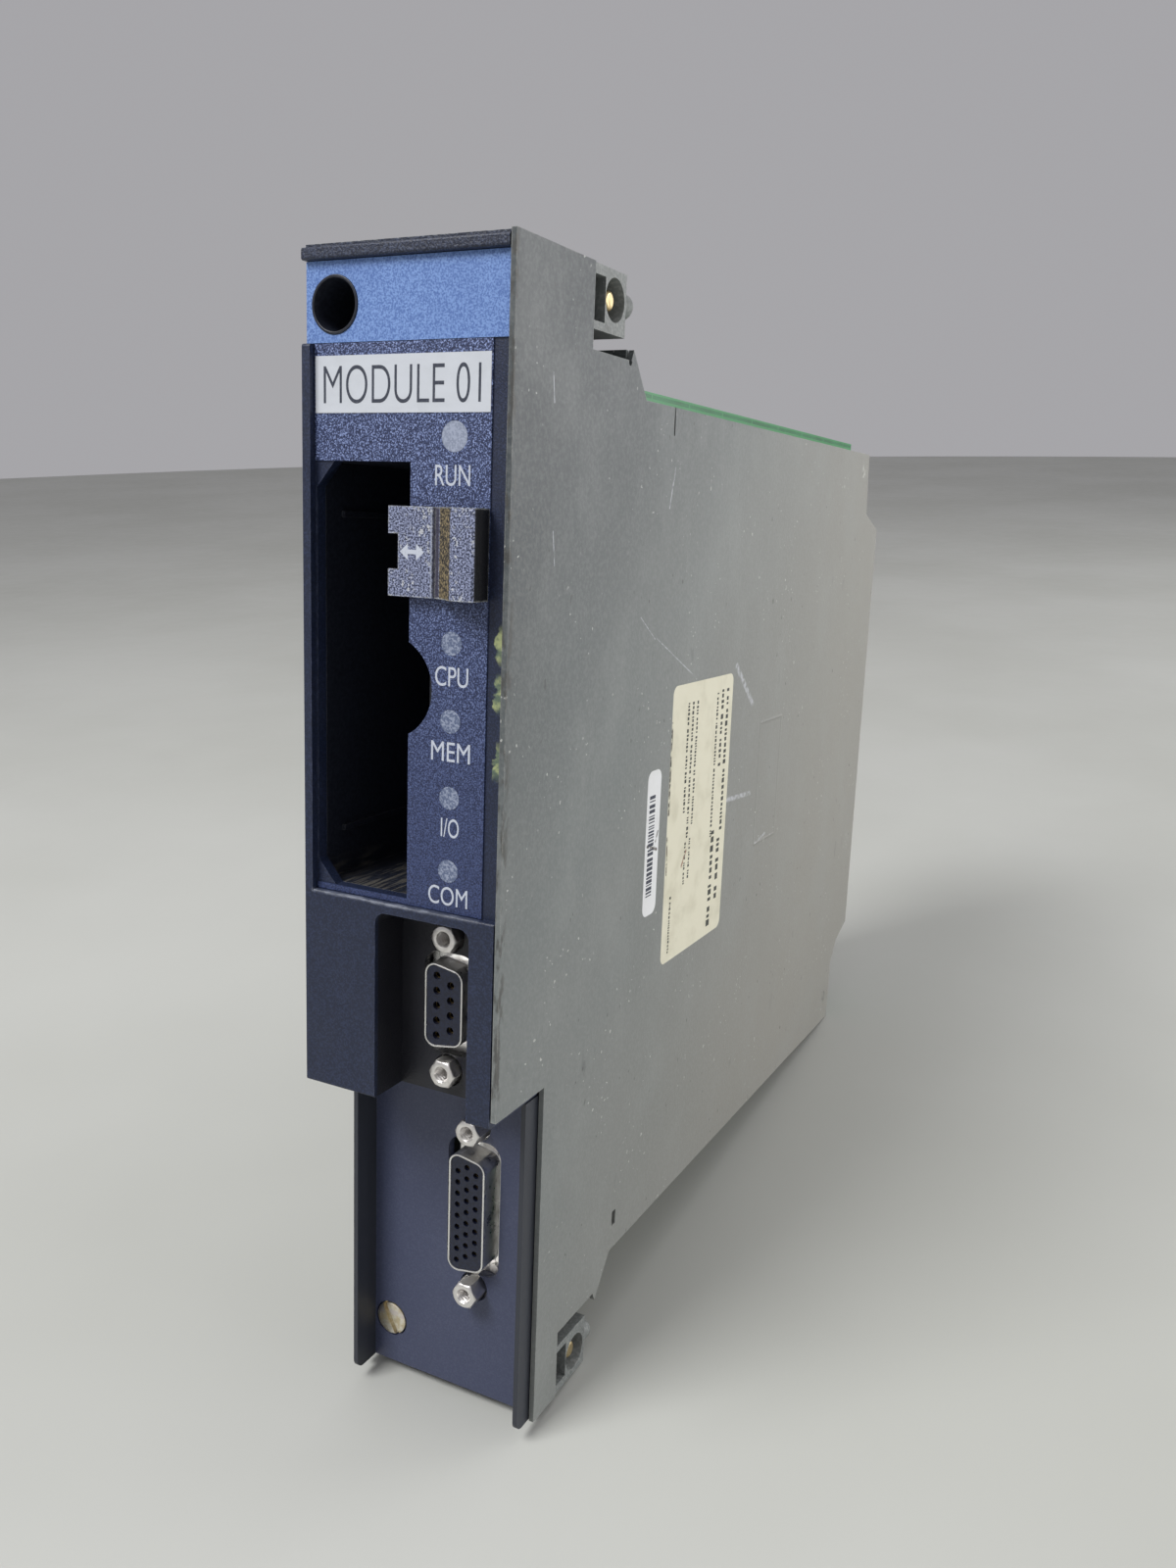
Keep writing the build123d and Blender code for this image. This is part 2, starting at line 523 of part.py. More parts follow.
PORTS = {
    # height, shell length, nut spacing, depth of the nut fronts, depth of the flange, contact hole radius
    "port9": (PORT9_Z, SHELL9_LENGTH, PORT9_NUTS, NUT_FRONT_9, FLANGE_9, 0.72),
    "port26": (PORT26_Z, SHELL26_LENGTH, PORT26_NUTS, NUT_FRONT_26, FLANGE_26, 0.56),
}

for name, (z, length, spacing, nut_front, flange, hole_r) in PORTS.items():
    shell_front = nut_front + 0.3

    with BuildPart() as shell:
        extrude(d_profile(at_depth(shell_front), z, length, SHELL_WIDTH, 2.1), amount=-(flange - shell_front))
        flange_x = (PORT_X - FLANGE_HALF_WIDTH, PORT_X + FLANGE_HALF_WIDTH)
        reach = spacing / 2 + FLANGE_END
        block(flange_x, (flange, flange + FLANGE_T), (z - reach, z + reach))
        inner = d_profile(at_depth(shell_front - 1), z, length - 2 * SHELL_T, SHELL_WIDTH - 2 * SHELL_T, 1.7)
        extrude(inner, amount=-(flange + 3 - shell_front), mode=Mode.SUBTRACT)
        jack_holes(z, spacing, 1.5, (flange - 1, flange + 2))
    finish(shell, f"{name}_shell")

    with BuildPart() as insulator:
        core_size = (length - 2 * SHELL_T - GAP, SHELL_WIDTH - 2 * SHELL_T - GAP)
        core = d_profile(at_depth(shell_front + 0.15), z, *core_size, 1.65)
        extrude(core, amount=-(flange + FLANGE_T - shell_front))
        for x, rise in hole_places(name):
            rod(PORT_X + x, (shell_front - 1, flange + 0.2), z + rise, hole_r, mode=Mode.SUBTRACT)
    finish(insulator, f"{name}_insulator")

    with BuildPart() as contacts:
        for x, rise in hole_places(name):
            rod(PORT_X + x, (shell_front + 0.9, flange), z + rise, hole_r - 0.06)
            rod(PORT_X + x, (shell_front, flange - 1.0), z + rise, hole_r - 0.24, mode=Mode.SUBTRACT)
    finish(contacts, f"{name}_contacts")

    with BuildPart() as nuts:
        for side in (-1, 1):
            nut_z = z + side * spacing / 2
            with BuildSketch(at_depth(nut_front)):
                with Locations((PORT_X, nut_z)):
                    RegularPolygon(NUT_FLATS / 2, 6, major_radius=False)
            extrude(amount=-(flange - nut_front))
            rod(PORT_X, (flange, flange + 4.0), nut_z, 1.42)
            rod(PORT_X, (nut_front - 1, nut_front + 4.2), nut_z, NUT_HOLE_R, mode=Mode.SUBTRACT)
    finish(nuts, f"{name}_nuts")

    with BuildPart() as body:
        body_depth = (flange + FLANGE_T + 0.2, flange + BODY_LONG)
        block((PORT_X - 4.9, CARD_X - GAP), body_depth, (z - length / 2, z + length / 2))
    finish(body, f"{name}_body")

with BuildPart() as port26_rivets:
    for side in (-1, 1):
        rivet_z = PORT26_Z + side * 12.6
        rod(PORT_X + 3.5, (FLANGE_26 - 0.5, FLANGE_26), rivet_z, 0.9)
finish(port26_rivets, "port26_rivets")

# ---------------------------------------------------------------- lower panel
PANEL_X = (-18.9, 18.8)
PANEL_SIDE, WALL_ROUND = 0.95, 2.0
PANEL_TOP = BLOCK_FOOT - 0.3
SEAT_R, SEAT_BACK = 4.4, 24.0                           # boss that seats the head of the lower screw
UPPER_HEAD, LOWER_HEAD = 17.0, PANEL - 0.2              # depths of the head faces

with BuildPart() as lower_panel:
    block(PANEL_X, (PANEL, PANEL + FLOOR_T), (GAP, PANEL_TOP))
    for low in (PANEL_X[0], PANEL_X[1] - PANEL_SIDE):
        block((low, low + PANEL_SIDE), (PANEL_WALL, PANEL + FLOOR_T), (GAP, PANEL_TOP))
    wall_corners = lower_panel.edges().filter_by(Axis.X).group_by(Axis.Y)[0].group_by(Axis.Z)[0]
    fillet(wall_corners, WALL_ROUND)
    rod(SCREW_X, (PANEL, SEAT_BACK), SCREW_INSET, SEAT_R)
    rod(SCREW_X, (PANEL - 1, LOWER_HEAD + HEAD_T), SCREW_INSET, HEAD_R + 0.3, mode=Mode.SUBTRACT)
    rod(SCREW_X, (PANEL, SEAT_BACK + 1), SCREW_INSET, SCREW_R + 0.35, mode=Mode.SUBTRACT)
    with BuildSketch(at_depth(PANEL - 1)):
        with Locations((PORT_X - 0.4, PORT26_Z)):
            RectangleRounded(11.6, 27.6, OPENING_ROUND)
        for side in (-1, 1):
            with Locations((PORT_X, PORT26_Z + side * PORT26_NUTS / 2)):
                Circle(NUT_CLEARANCE)
    extrude(amount=-4, mode=Mode.SUBTRACT)
finish(lower_panel, "lower_panel")

# ---------------------------------------------------------------- fixing lugs
LUG_FRONT = NOTCH_FRONT + 0.3
LUG_FOOT = HEIGHT - 10.5
PIN_DEPTH, PIN_Z = 33.3, HEIGHT - 4.9
PIN_R = 1.75
PIN_X = (12.0, 18.9)
PIN_SEAT = 14.6                     # floor of the round recess that the pin stands in

LUG_TOP = HEIGHT - GAP
LUG_INNER, LUG_OUTER = -8.5, RIGHT - 0.2
SEAT_X = 11.0                       # solid end that carries the pin
RECESS_R = 3.6

with BuildPart() as upper_lug:
    lug_depth = (LUG_FRONT, LUG_BACK)
    bar_x = (LUG_INNER, LUG_OUTER)
    block((LEFT + SHEET + 0.3, LUG_INNER), lug_depth, (HEIGHT - NOTCH_RISE + 0.3, LUG_TOP))
    block(bar_x, lug_depth, (LUG_TOP - 1.7, LUG_TOP))
    block(bar_x, lug_depth, (LUG_FOOT, LUG_FOOT + 1.4))
    block((LUG_INNER, 17.0), (LUG_FRONT, LUG_FRONT + 1.5), (LUG_FOOT, LUG_TOP))
    block(bar_x, (LUG_BACK - 1.6, LUG_BACK), (LUG_FOOT, LUG_TOP))
    block((SEAT_X, LUG_OUTER), (PIN_DEPTH - 3.7, LUG_BACK), (LUG_FOOT, LUG_TOP))
    rod(17.2, (LUG_BACK - 1, 41.2), PIN_Z + 0.2, 2.2)
    cross_rod((PIN_SEAT, RIGHT + 1), PIN_DEPTH, PIN_Z, RECESS_R, mode=Mode.SUBTRACT)
    cross_rod((PIN_X[0], PIN_SEAT + 0.4), PIN_DEPTH, PIN_Z, PIN_R, mode=Mode.SUBTRACT)
    rod(SCREW_X, (LUG_FRONT - 1, LUG_BACK + 1), HEIGHT - SCREW_INSET, SCREW_R + 0.08, mode=Mode.SUBTRACT)
finish(upper_lug, "upper_lug")

with BuildPart() as lower_lug:
    mirror(upper_lug.part, about=Plane.XY.offset(MID_HEIGHT))
finish(lower_lug, "lower_lug")

with BuildPart() as lug_pins:
    for z in (PIN_Z, HEIGHT - PIN_Z):
        cross_rod(PIN_X, PIN_DEPTH, z, PIN_R)
    pin_ends = lug_pins.edges().filter_by(GeomType.CIRCLE).group_by(Axis.X)[-1]
    fillet(pin_ends, 0.7)
finish(lug_pins, "lug_pins")

# ---------------------------------------------------------------- captive fixing screws
SCREW_END = 50.0
CLIP_DEPTH = (38.2, 38.9)
GROOVE_BACK = 40.0                                      # the clip has a little play in its groove
CLIP_R, GROOVE_R = 3.2, SCREW_R - 0.35
SLOT_WIDE, SLOT_DEEP = 1.0, 1.1


def captive_screw(z, head_front, label):
    """Slotted cheese-head screw along Y, with a groove for its clip."""
    with BuildPart() as screw:
        rod(SCREW_X, (head_front, head_front + HEAD_T), z, HEAD_R)
        fillet(screw.edges().filter_by(GeomType.CIRCLE).group_by(Axis.Y)[0], 0.5)
        rod(SCREW_X, (head_front + HEAD_T, SCREW_END), z, SCREW_R)
        chamfer(screw.edges().filter_by(GeomType.CIRCLE).group_by(Axis.Y)[-1], 0.6)
        slot_x = (SCREW_X - HEAD_R - 1, SCREW_X + HEAD_R + 1)
        slot_z = (z - SLOT_WIDE / 2, z + SLOT_WIDE / 2)
        block(slot_x, (head_front - 1, head_front + SLOT_DEEP), slot_z, mode=Mode.SUBTRACT)
        with BuildSketch(at_depth(CLIP_DEPTH[0])):
            with Locations((SCREW_X, z)):
                Circle(SCREW_R + 0.5)
                Circle(GROOVE_R, mode=Mode.SUBTRACT)
        extrude(amount=-(GROOVE_BACK - CLIP_DEPTH[0]), mode=Mode.SUBTRACT)
    finish(screw, label)


def screw_clip(z, label):
    """Open spring clip in the groove of a screw."""
    with BuildPart() as clip:
        with BuildSketch(at_depth(CLIP_DEPTH[0])):
            with Locations((SCREW_X, z)):
                Circle(CLIP_R)
                Circle(GROOVE_R, mode=Mode.SUBTRACT)
            with Locations((SCREW_X + 3, z)):
                Rectangle(6, 1.6, mode=Mode.SUBTRACT)
        extrude(amount=-(CLIP_DEPTH[1] - CLIP_DEPTH[0]))
    finish(clip, label)


captive_screw(HEIGHT - SCREW_INSET, UPPER_HEAD, "upper_screw")
captive_screw(SCREW_INSET, LOWER_HEAD, "lower_screw")
screw_clip(HEIGHT - SCREW_INSET, "upper_clip")
screw_clip(SCREW_INSET, "lower_clip")

# ---------------------------------------------------------------- circuit boards and components
CARD_TOP = HEIGHT - 16.3            # upper edge stands above the covers, for the rack's card guide
CARD_FOOT = BODY_INSET + GAP        # lower edge lies flush with the covers' folds
CARD_LOW, CARD_STEP = 24.0, 44.0    # narrower stretch between the rail notches

with BuildPart() as main_board:
    with BuildSketch(Plane.YZ.offset(CARD_X)):
        with BuildLine():
            Polyline(*to_plane([
                (CARD_FRONT, CARD_LOW), (CARD_FRONT, HEIGHT - CARD_LOW), (CARD_STEP, HEIGHT - CARD_LOW),
                (CARD_STEP + 4.5, CARD_TOP), (CARD_BACK, CARD_TOP), (CARD_BACK, CARD_FOOT + 10.0),
                (CARD_BACK - 10.0, CARD_FOOT), (CARD_STEP + 4.5, CARD_FOOT), (CARD_STEP, CARD_LOW),
            ]), close=True)
        make_face()
    extrude(amount=BOARD)
finish(main_board, "main_board")


STAND_OFF = 0.3                     # component bodies above the board


def on_board(depth, z, size):
    """Component block on the left face of the main board, from its middle, length, height and thickness."""
    long, tall, thick = size
    surface = CARD_X - STAND_OFF
    block((surface - thick, surface), (depth - long / 2, depth + long / 2), (z - tall / 2, z + tall / 2))


with BuildPart() as processor_chip:
    on_board(118.0, 128.0, (24.0, 24.0, 4.2))
finish(processor_chip, "processor_chip")

with BuildPart() as memory_chips:
    for row in range(4):
        on_board(173.5, 62.0 + row * 20.0, (36.5, 13.8, 4.0))
finish(memory_chips, "memory_chips")

with BuildPart() as logic_chips:
    for column in range(3):
        for row in range(4):
            on_board(88.0 + column * 27.0, 38.0 + row * 13.0, (22.0, 6.6, 3.4))
finish(logic_chips, "logic_chips")

with BuildPart() as capacitors:
    for depth, z in ((92.0, 168.0), (106.0, 168.0), (120.0, 168.0), (180.0, 150.0), (180.0, 164.0)):
        cross_rod((CARD_X - 12.3, CARD_X - STAND_OFF), depth, z, 4.0)
finish(capacitors, "capacitors")

with BuildPart() as clock_crystal:
    with BuildSketch(Plane.YZ.offset(CARD_X - STAND_OFF)):
        with Locations((FRONT + 142.0, 144.0)):
            SlotOverall(11.0, 4.6)
    extrude(amount=-13.0)
finish(clock_crystal, "clock_crystal")

# ---------------------------------------------------------------- rear connectors
REAR_X = (-0.6, CARD_X - GAP)
REAR_DEPTH = (196.0, 213.0)
REAR_ROWS, REAR_PITCH = 16, 2.54
REAR_SPAN = 54.0
REAR_LEVELS = {"upper": 136.5, "lower": 79.0}

for name, z in REAR_LEVELS.items():
    with BuildPart() as connector:
        half = REAR_SPAN / 2
        block(REAR_X, (REAR_DEPTH[0], REAR_DEPTH[0] + 9.0), (z - half, z + half))
        block((REAR_X[0] + 1.2, REAR_X[1] - 1.2), REAR_DEPTH, (z - half + 4.5, z + half - 4.5))
        with BuildSketch(at_depth(REAR_DEPTH[1])):
            with Locations(((REAR_X[0] + REAR_X[1]) / 2, z)):
                with GridLocations(REAR_PITCH, REAR_PITCH, 3, REAR_ROWS):
                    Rectangle(1.0, 1.0)
        extrude(amount=7.0, mode=Mode.SUBTRACT)
    finish(connector, f"rear_connector_{name}")

with BuildPart() as rear_contacts:
    for z in REAR_LEVELS.values():
        with BuildSketch(at_depth(REAR_DEPTH[1] - 1.0)):
            with Locations(((REAR_X[0] + REAR_X[1]) / 2, z)):
                with GridLocations(REAR_PITCH, REAR_PITCH, 3, REAR_ROWS):
                    Rectangle(0.7, 0.7)
        extrude(amount=6.0)
finish(rear_contacts, "rear_contacts")

# ---------------------------------------------------------------- labels on the right cover
with BuildPart() as spec_label:
    label_shape(SPEC_LABEL, LABEL_T)
finish(spec_label, "spec_label")

with BuildPart() as barcode_label:
    label_shape(BAR_LABEL, LABEL_T)
finish(barcode_label, "barcode_label")
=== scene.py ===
"""Looks of the controller module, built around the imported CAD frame.

Sizes are in metres and in the CAD frame: X across, Y from the front back into the rack, Z up. The constants
below are in millimetres where their comment says so, and mm() turns a place in millimetres into the frame.
"""

import json
import random
from math import atan, cos, pi, radians, sin

import bmesh
import bpy
from mathutils import Euler, Matrix, Vector


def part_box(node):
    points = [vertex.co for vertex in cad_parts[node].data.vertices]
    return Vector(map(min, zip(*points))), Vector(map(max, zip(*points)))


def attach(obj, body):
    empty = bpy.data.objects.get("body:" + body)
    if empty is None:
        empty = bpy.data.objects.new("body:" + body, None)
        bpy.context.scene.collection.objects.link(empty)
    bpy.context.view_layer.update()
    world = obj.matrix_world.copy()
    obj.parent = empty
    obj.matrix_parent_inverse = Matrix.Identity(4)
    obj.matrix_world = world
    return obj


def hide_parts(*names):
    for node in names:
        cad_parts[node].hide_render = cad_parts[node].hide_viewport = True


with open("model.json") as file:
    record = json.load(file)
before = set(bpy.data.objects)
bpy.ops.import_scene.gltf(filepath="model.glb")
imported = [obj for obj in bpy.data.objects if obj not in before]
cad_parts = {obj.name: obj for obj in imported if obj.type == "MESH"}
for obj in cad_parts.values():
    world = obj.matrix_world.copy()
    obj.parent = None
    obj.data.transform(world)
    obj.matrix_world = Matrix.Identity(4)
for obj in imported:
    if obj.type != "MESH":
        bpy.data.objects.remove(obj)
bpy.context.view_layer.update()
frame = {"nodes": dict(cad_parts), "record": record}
NODES = frame["nodes"]
MM = 0.001

# the frame's own measures, in metres
FACE_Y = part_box("indicator_overlay")[0].y       # printed film
TITLE_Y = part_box("title_label")[0].y
COVER_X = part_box("right_cover")[1].x
BEZEL_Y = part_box("front_bezel")[0].y
SCOOP_X = 0.0007                                # right wall of the pocket, where its finger scoop starts


def mm(x, depth, z):
    """Place in the frame from millimetres across, behind the front frame, and up."""
    return Vector((x * MM, BEZEL_Y + depth * MM, z * MM))


# ---------------------------------------------------------------- camera, light, floor
CAMERA_PLACE = Vector((0.12126, -0.27632, 0.16735))
CAMERA_YAW, CAMERA_PITCH, CAMERA_ROLL = radians(26.8), radians(-11.5), radians(2.17)
LENS, SENSOR = 29.3, 36.0
FLOOR_FRONT, FLOOR_REAR = mm(0, 37.5, 0.05), mm(0, 200.0, 19.75)   # what the leaning module stands on
FLOOR_REACH = 3.0


def add_camera():
    camera = bpy.data.cameras.new("camera")
    camera.lens, camera.sensor_width = LENS, SENSOR
    camera.clip_start = 0.01
    holder = bpy.data.objects.new("camera", camera)
    turn = Euler((pi / 2 + CAMERA_PITCH, 0, CAMERA_YAW)).to_matrix() @ Matrix.Rotation(CAMERA_ROLL, 3, "Z")
    holder.matrix_world = Matrix.Translation(CAMERA_PLACE) @ turn.to_4x4()
    bpy.context.scene.collection.objects.link(holder)
    bpy.context.scene.camera = holder


def add_light(name, place, target, size, power):
    """Soft square lamp at place, turned to target."""
    lamp = bpy.data.lights.new(name, "AREA")
    lamp.size, lamp.energy = size, power
    holder = bpy.data.objects.new(name, lamp)
    away = Vector(place) - Vector(target)
    holder.matrix_world = Matrix.Translation(place) @ away.to_track_quat("Z", "Y").to_matrix().to_4x4()
    bpy.context.scene.collection.objects.link(holder)


def add_world(colour, strength):
    world = bpy.data.worlds.new("studio")
    world.use_nodes = True
    background = world.node_tree.nodes["Background"]
    background.inputs["Color"].default_value = colour
    background.inputs["Strength"].default_value = strength
    bpy.context.scene.world = world


# ---------------------------------------------------------------- materials
def srgb(red, green, blue):
    """Linear colour from 0 to 255 values."""
    def linear(value):
        value /= 255
        return value / 12.92 if value <= 0.04045 else ((value + 0.055) / 1.055) ** 2.4
    return (linear(red), linear(green), linear(blue), 1.0)


class Shade:
    """A material whose nodes are added by short calls. Places are the object's own, so they move with it."""

    def __init__(self, name, roughness=0.5, metallic=0.0, specular=0.5):
        self.material = bpy.data.materials.new(name)
        self.material.use_nodes = True
        self.nodes = self.material.node_tree.nodes
        self.links = self.material.node_tree.links
        self.shader = self.nodes["Principled BSDF"]
        self.shader.inputs["Roughness"].default_value = roughness
        self.shader.inputs["Metallic"].default_value = metallic
        self.shader.inputs["Specular IOR Level"].default_value = specular
        self.place = self.nodes.new("ShaderNodeTexCoord").outputs["Object"]

    def give(self, socket, value):
        """Link an output, or set a plain value, on an input socket."""
        if isinstance(value, bpy.types.NodeSocket):
            self.links.new(value, socket)
        else:
            socket.default_value = value

    def noise(self, size, detail=3.0, stretch=(1, 1, 1), roughness=0.55):
        """Cloudy value about 0.5; size is the width of its patches in metres."""
        shaped = self.nodes.new("ShaderNodeVectorMath")
        shaped.operation = "MULTIPLY"
        self.give(shaped.inputs[0], self.place)
        shaped.inputs[1].default_value = [1 / (size * s) for s in stretch]
        node = self.nodes.new("ShaderNodeTexNoise")
        node.inputs["Scale"].default_value = 1.0
        node.inputs["Detail"].default_value = detail
        node.inputs["Roughness"].default_value = roughness
        self.give(node.inputs["Vector"], shaped.outputs[0])
        return node.outputs[0]

    def step(self, value, low, high, out_low=0.0, out_high=1.0):
        """Smooth step from out_low at low to out_high at high."""
        node = self.nodes.new("ShaderNodeMapRange")
        node.interpolation_type = "SMOOTHSTEP"
        names = ("Value", "From Min", "From Max", "To Min", "To Max")
        for name, number in zip(names, (value, low, high, out_low, out_high)):
            self.give(node.inputs[name], number)
        return node.outputs[0]

    def sum(self, operation, *values):
        """Result of one math operation on values."""
        node = self.nodes.new("ShaderNodeMath")
        node.operation = operation
        for socket, value in zip(node.inputs, values):
            self.give(socket, value)
        return node.outputs[0]

    def mix(self, share, first, second):
        """Colour that goes from first to second as share goes from 0 to 1."""
        node = self.nodes.new("ShaderNodeMix")
        node.data_type = "RGBA"
        factor, first_socket, second_socket = node.inputs[0], node.inputs[6], node.inputs[7]
        self.give(factor, share)
        self.give(first_socket, first)
        self.give(second_socket, second)
        return node.outputs[2]

    def axis(self, name):
        """The object's own X, Y or Z, in metres."""
        node = self.nodes.new("ShaderNodeSeparateXYZ")
        self.give(node.inputs[0], self.place)
        return node.outputs[name]

    def edges(self, radius):
        """1 near an edge of the mesh, 0 elsewhere."""
        bevel = self.nodes.new("ShaderNodeBevel")
        bevel.samples = 4
        bevel.inputs["Radius"].default_value = radius
        flat = self.nodes.new("ShaderNodeNewGeometry").outputs["Normal"]
        turn = self.nodes.new("ShaderNodeVectorMath")
        turn.operation = "DOT_PRODUCT"
        self.give(turn.inputs[0], bevel.outputs[0])
        self.give(turn.inputs[1], flat)
        return self.step(self.sum("SUBTRACT", 1.0, turn.outputs["Value"]), 0.05, 0.45)

    def within(self, x=None, y=None, z=None, soft=0.0003):
        """1 inside the ranges of the object's own place that are given, in metres."""
        inside = 1.0
        for name, span in (("X", x), ("Y", y), ("Z", z)):
            if span:
                value = self.axis(name)
                above = self.step(value, span[0] - soft, span[0] + soft)
                inside = self.sum("MULTIPLY", inside, above)
                below = self.step(value, span[1] - soft, span[1] + soft, 1.0, 0.0)
                inside = self.sum("MULTIPLY", inside, below)
        return inside

    def streak(self, start, end, width):
        """1 along a straight stroke between two places, fading to 0 at its width."""
        start, end = Vector(start), Vector(end)
        run = end - start
        aside = self.nodes.new("ShaderNodeVectorMath")
        aside.operation = "SUBTRACT"
        self.give(aside.inputs[0], self.place)
        aside.inputs[1].default_value = start
        along = self.nodes.new("ShaderNodeVectorMath")
        along.operation = "DOT_PRODUCT"
        self.give(along.inputs[0], aside.outputs[0])
        along.inputs[1].default_value = run / run.length_squared
        share = self.step(along.outputs["Value"], 0.0, 1.0)
        share.node.interpolation_type = "LINEAR"
        foot = self.nodes.new("ShaderNodeVectorMath")
        foot.operation = "SCALE"
        foot.inputs[0].default_value = run
        self.give(foot.inputs["Scale"], share)
        gap = self.nodes.new("ShaderNodeVectorMath")
        gap.operation = "DISTANCE"
        self.give(gap.inputs[0], aside.outputs[0])
        self.give(gap.inputs[1], foot.outputs[0])
        return self.step(gap.outputs["Value"], width * 0.3, width, 1.0, 0.0)

    def most(self, *values):
        """Largest of several masks."""
        result = values[0]
        for value in values[1:]:
            result = self.sum("MAXIMUM", result, value)
        return result

    def relief(self, height, depth):
        """Bump of that depth in metres, on top of any that was set before."""
        node = self.nodes.new("ShaderNodeBump")
        node.inputs["Distance"].default_value = depth
        self.give(node.inputs["Height"], height)
        socket = self.shader.inputs["Normal"]
        if socket.is_linked:
            self.links.new(socket.links[0].from_socket, node.inputs["Normal"])
        self.links.new(node.outputs[0], socket)

    def finish(self, colour, roughness=None):
        self.give(self.shader.inputs["Base Color"], colour)
        if roughness is not None:
            self.give(self.shader.inputs["Roughness"], roughness)
        return self.material


def cover_paint():
    """Satin grey paint on sheet steel, scuffed, with bare bright edges, and light and shade painted across
    it.
    """
    s = Shade("cover_paint", specular=0.5)
    broad = s.noise(0.05, detail=4)
    fine = s.noise(0.0007, detail=2)
    # painted shade: darker and bluer at the upper front; painted light: paler and warmer towards the lower
    # rear
    dark = s.mix(s.step(broad, 0.3, 0.7), srgb(61, 67, 70), srgb(71, 76, 79))
    middle = s.mix(s.step(broad, 0.3, 0.7), srgb(109, 115, 115), srgb(118, 122, 121))
    rearward = s.sum("MULTIPLY_ADD", s.axis("Z"), -0.47, s.axis("Y"))
    paint = s.mix(s.step(rearward, BEZEL_Y - 0.047, BEZEL_Y + 0.153), middle, srgb(143, 141, 134))
    # painted shade over the upper front, strongest high up at the front
    forward = s.sum("MULTIPLY_ADD", s.axis("Z"), -1.1, s.axis("Y"))
    paint = s.mix(s.step(forward, BEZEL_Y - 0.205, BEZEL_Y - 0.08, 1.0, 0.0), paint, dark)
    paint = s.mix(s.step(fine, 0.35, 0.75, 0.0, 0.16), paint, srgb(160, 162, 160))
    # scattered pale chips and dark smudges
    chips = s.sum("MULTIPLY", s.step(s.noise(0.0011, detail=1), 0.71, 0.74), s.step(s.noise(0.02), 0.5, 0.6))
    specks = s.step(s.noise(0.0014, detail=1, stretch=(1, 1, 1.7)), 0.24, 0.2)
    dirt = s.noise(0.004, detail=5, stretch=(1, 1, 2))
    smudge = s.sum("MULTIPLY", s.step(dirt, 0.62, 0.72), s.step(s.noise(0.04), 0.5, 0.66))
    haze = s.step(s.noise(0.018, detail=5, stretch=(1, 1, 1.6), roughness=0.65), 0.42, 0.72, 0.0, 0.2)
    paint = s.mix(s.sum("MULTIPLY", smudge, 0.4), paint, srgb(74, 77, 78))
    paint = s.mix(haze, paint, srgb(152, 155, 153))
    paint = s.mix(s.sum("MULTIPLY", chips, 0.75), paint, srgb(196, 197, 192))
    paint = s.mix(s.sum("MULTIPLY", specks, 0.6), paint, srgb(62, 62, 60))
    front = s.step(s.axis("Y"), BEZEL_Y + 0.0006, BEZEL_Y + 0.0022, 1.0, 0.0)
    scuffed = s.step(s.noise(0.0016, detail=4, stretch=(1, 1, 2.5)), 0.5, 0.64, 0.0, 0.75)
    paint = s.mix(s.sum("MULTIPLY", front, scuffed), paint, srgb(66, 64, 60))
    # scratches on the right cover: start and end in depth and height
    side = COVER_X / MM
    strokes = [((102.3, 137.0), (114.4, 127.2), 1.1), ((100.7, 106.2), (116.3, 105.2), 0.8),
               ((122.3, 91.5), (129.3, 92.6), 0.5), ((49.0, 150.5), (56.0, 146.0), 0.16),
               ((57.0, 146.0), (76.0, 137.5), 0.18), ((13.6, 166.0), (14.4, 160.5), 0.2),
               ((12.2, 190.5), (12.8, 186.0), 0.2), ((60.0, 171.0), (62.0, 178.5), 0.35)]
    marks = s.most(*[s.streak(mm(side, *a), mm(side, *b), width * MM) for a, b, width in strokes])
    broken = s.step(s.noise(0.0012, detail=3), 0.35, 0.62, 0.05, 0.6)
    paint = s.mix(s.sum("MULTIPLY", marks, broken), paint, srgb(204, 206, 214))
    # worn edges
    worn = s.sum("MULTIPLY", s.edges(0.0004), s.step(s.noise(0.003, detail=4), 0.42, 0.62, 0.15, 0.75))
    paint = s.mix(worn, paint, srgb(176, 176, 170))
    s.relief(fine, 0.00004)
    # faint frame that a removed label has left
    outline = s.sum("SUBTRACT", s.within(y=(mm(0, 121, 0).y, mm(0, 137, 0).y), z=(0.091, 0.122)),
                    s.within(y=(mm(0, 121.5, 0).y, mm(0, 136.5, 0).y), z=(0.0915, 0.1215)))
    s.relief(outline, 0.00012)
    return s.finish(paint, s.step(broad, 0.3, 0.7, 0.42, 0.56))


def grained_plastic(name, dark, light, edge, grain=0.00032, depth=0.00006, contrast=(0.42, 0.68), wear=0.6):
    """Moulded plastic with a spark-eroded grain, paler where its edges have worn."""
    s = Shade(name, specular=0.5)
    spots = s.noise(grain, detail=1.5)
    tone = s.mix(s.step(spots, *contrast), dark, light)
    cloud = s.noise(0.012, detail=3)
    tone = s.mix(s.step(cloud, 0.35, 0.7, 0.0, 0.25), tone, dark)
    worn = s.sum("MULTIPLY", s.edges(0.0003), s.step(s.noise(0.0012, detail=3), 0.45, 0.65, 0.1, wear))
    s.relief(spots, depth)
    return s, s.mix(worn, tone, edge)


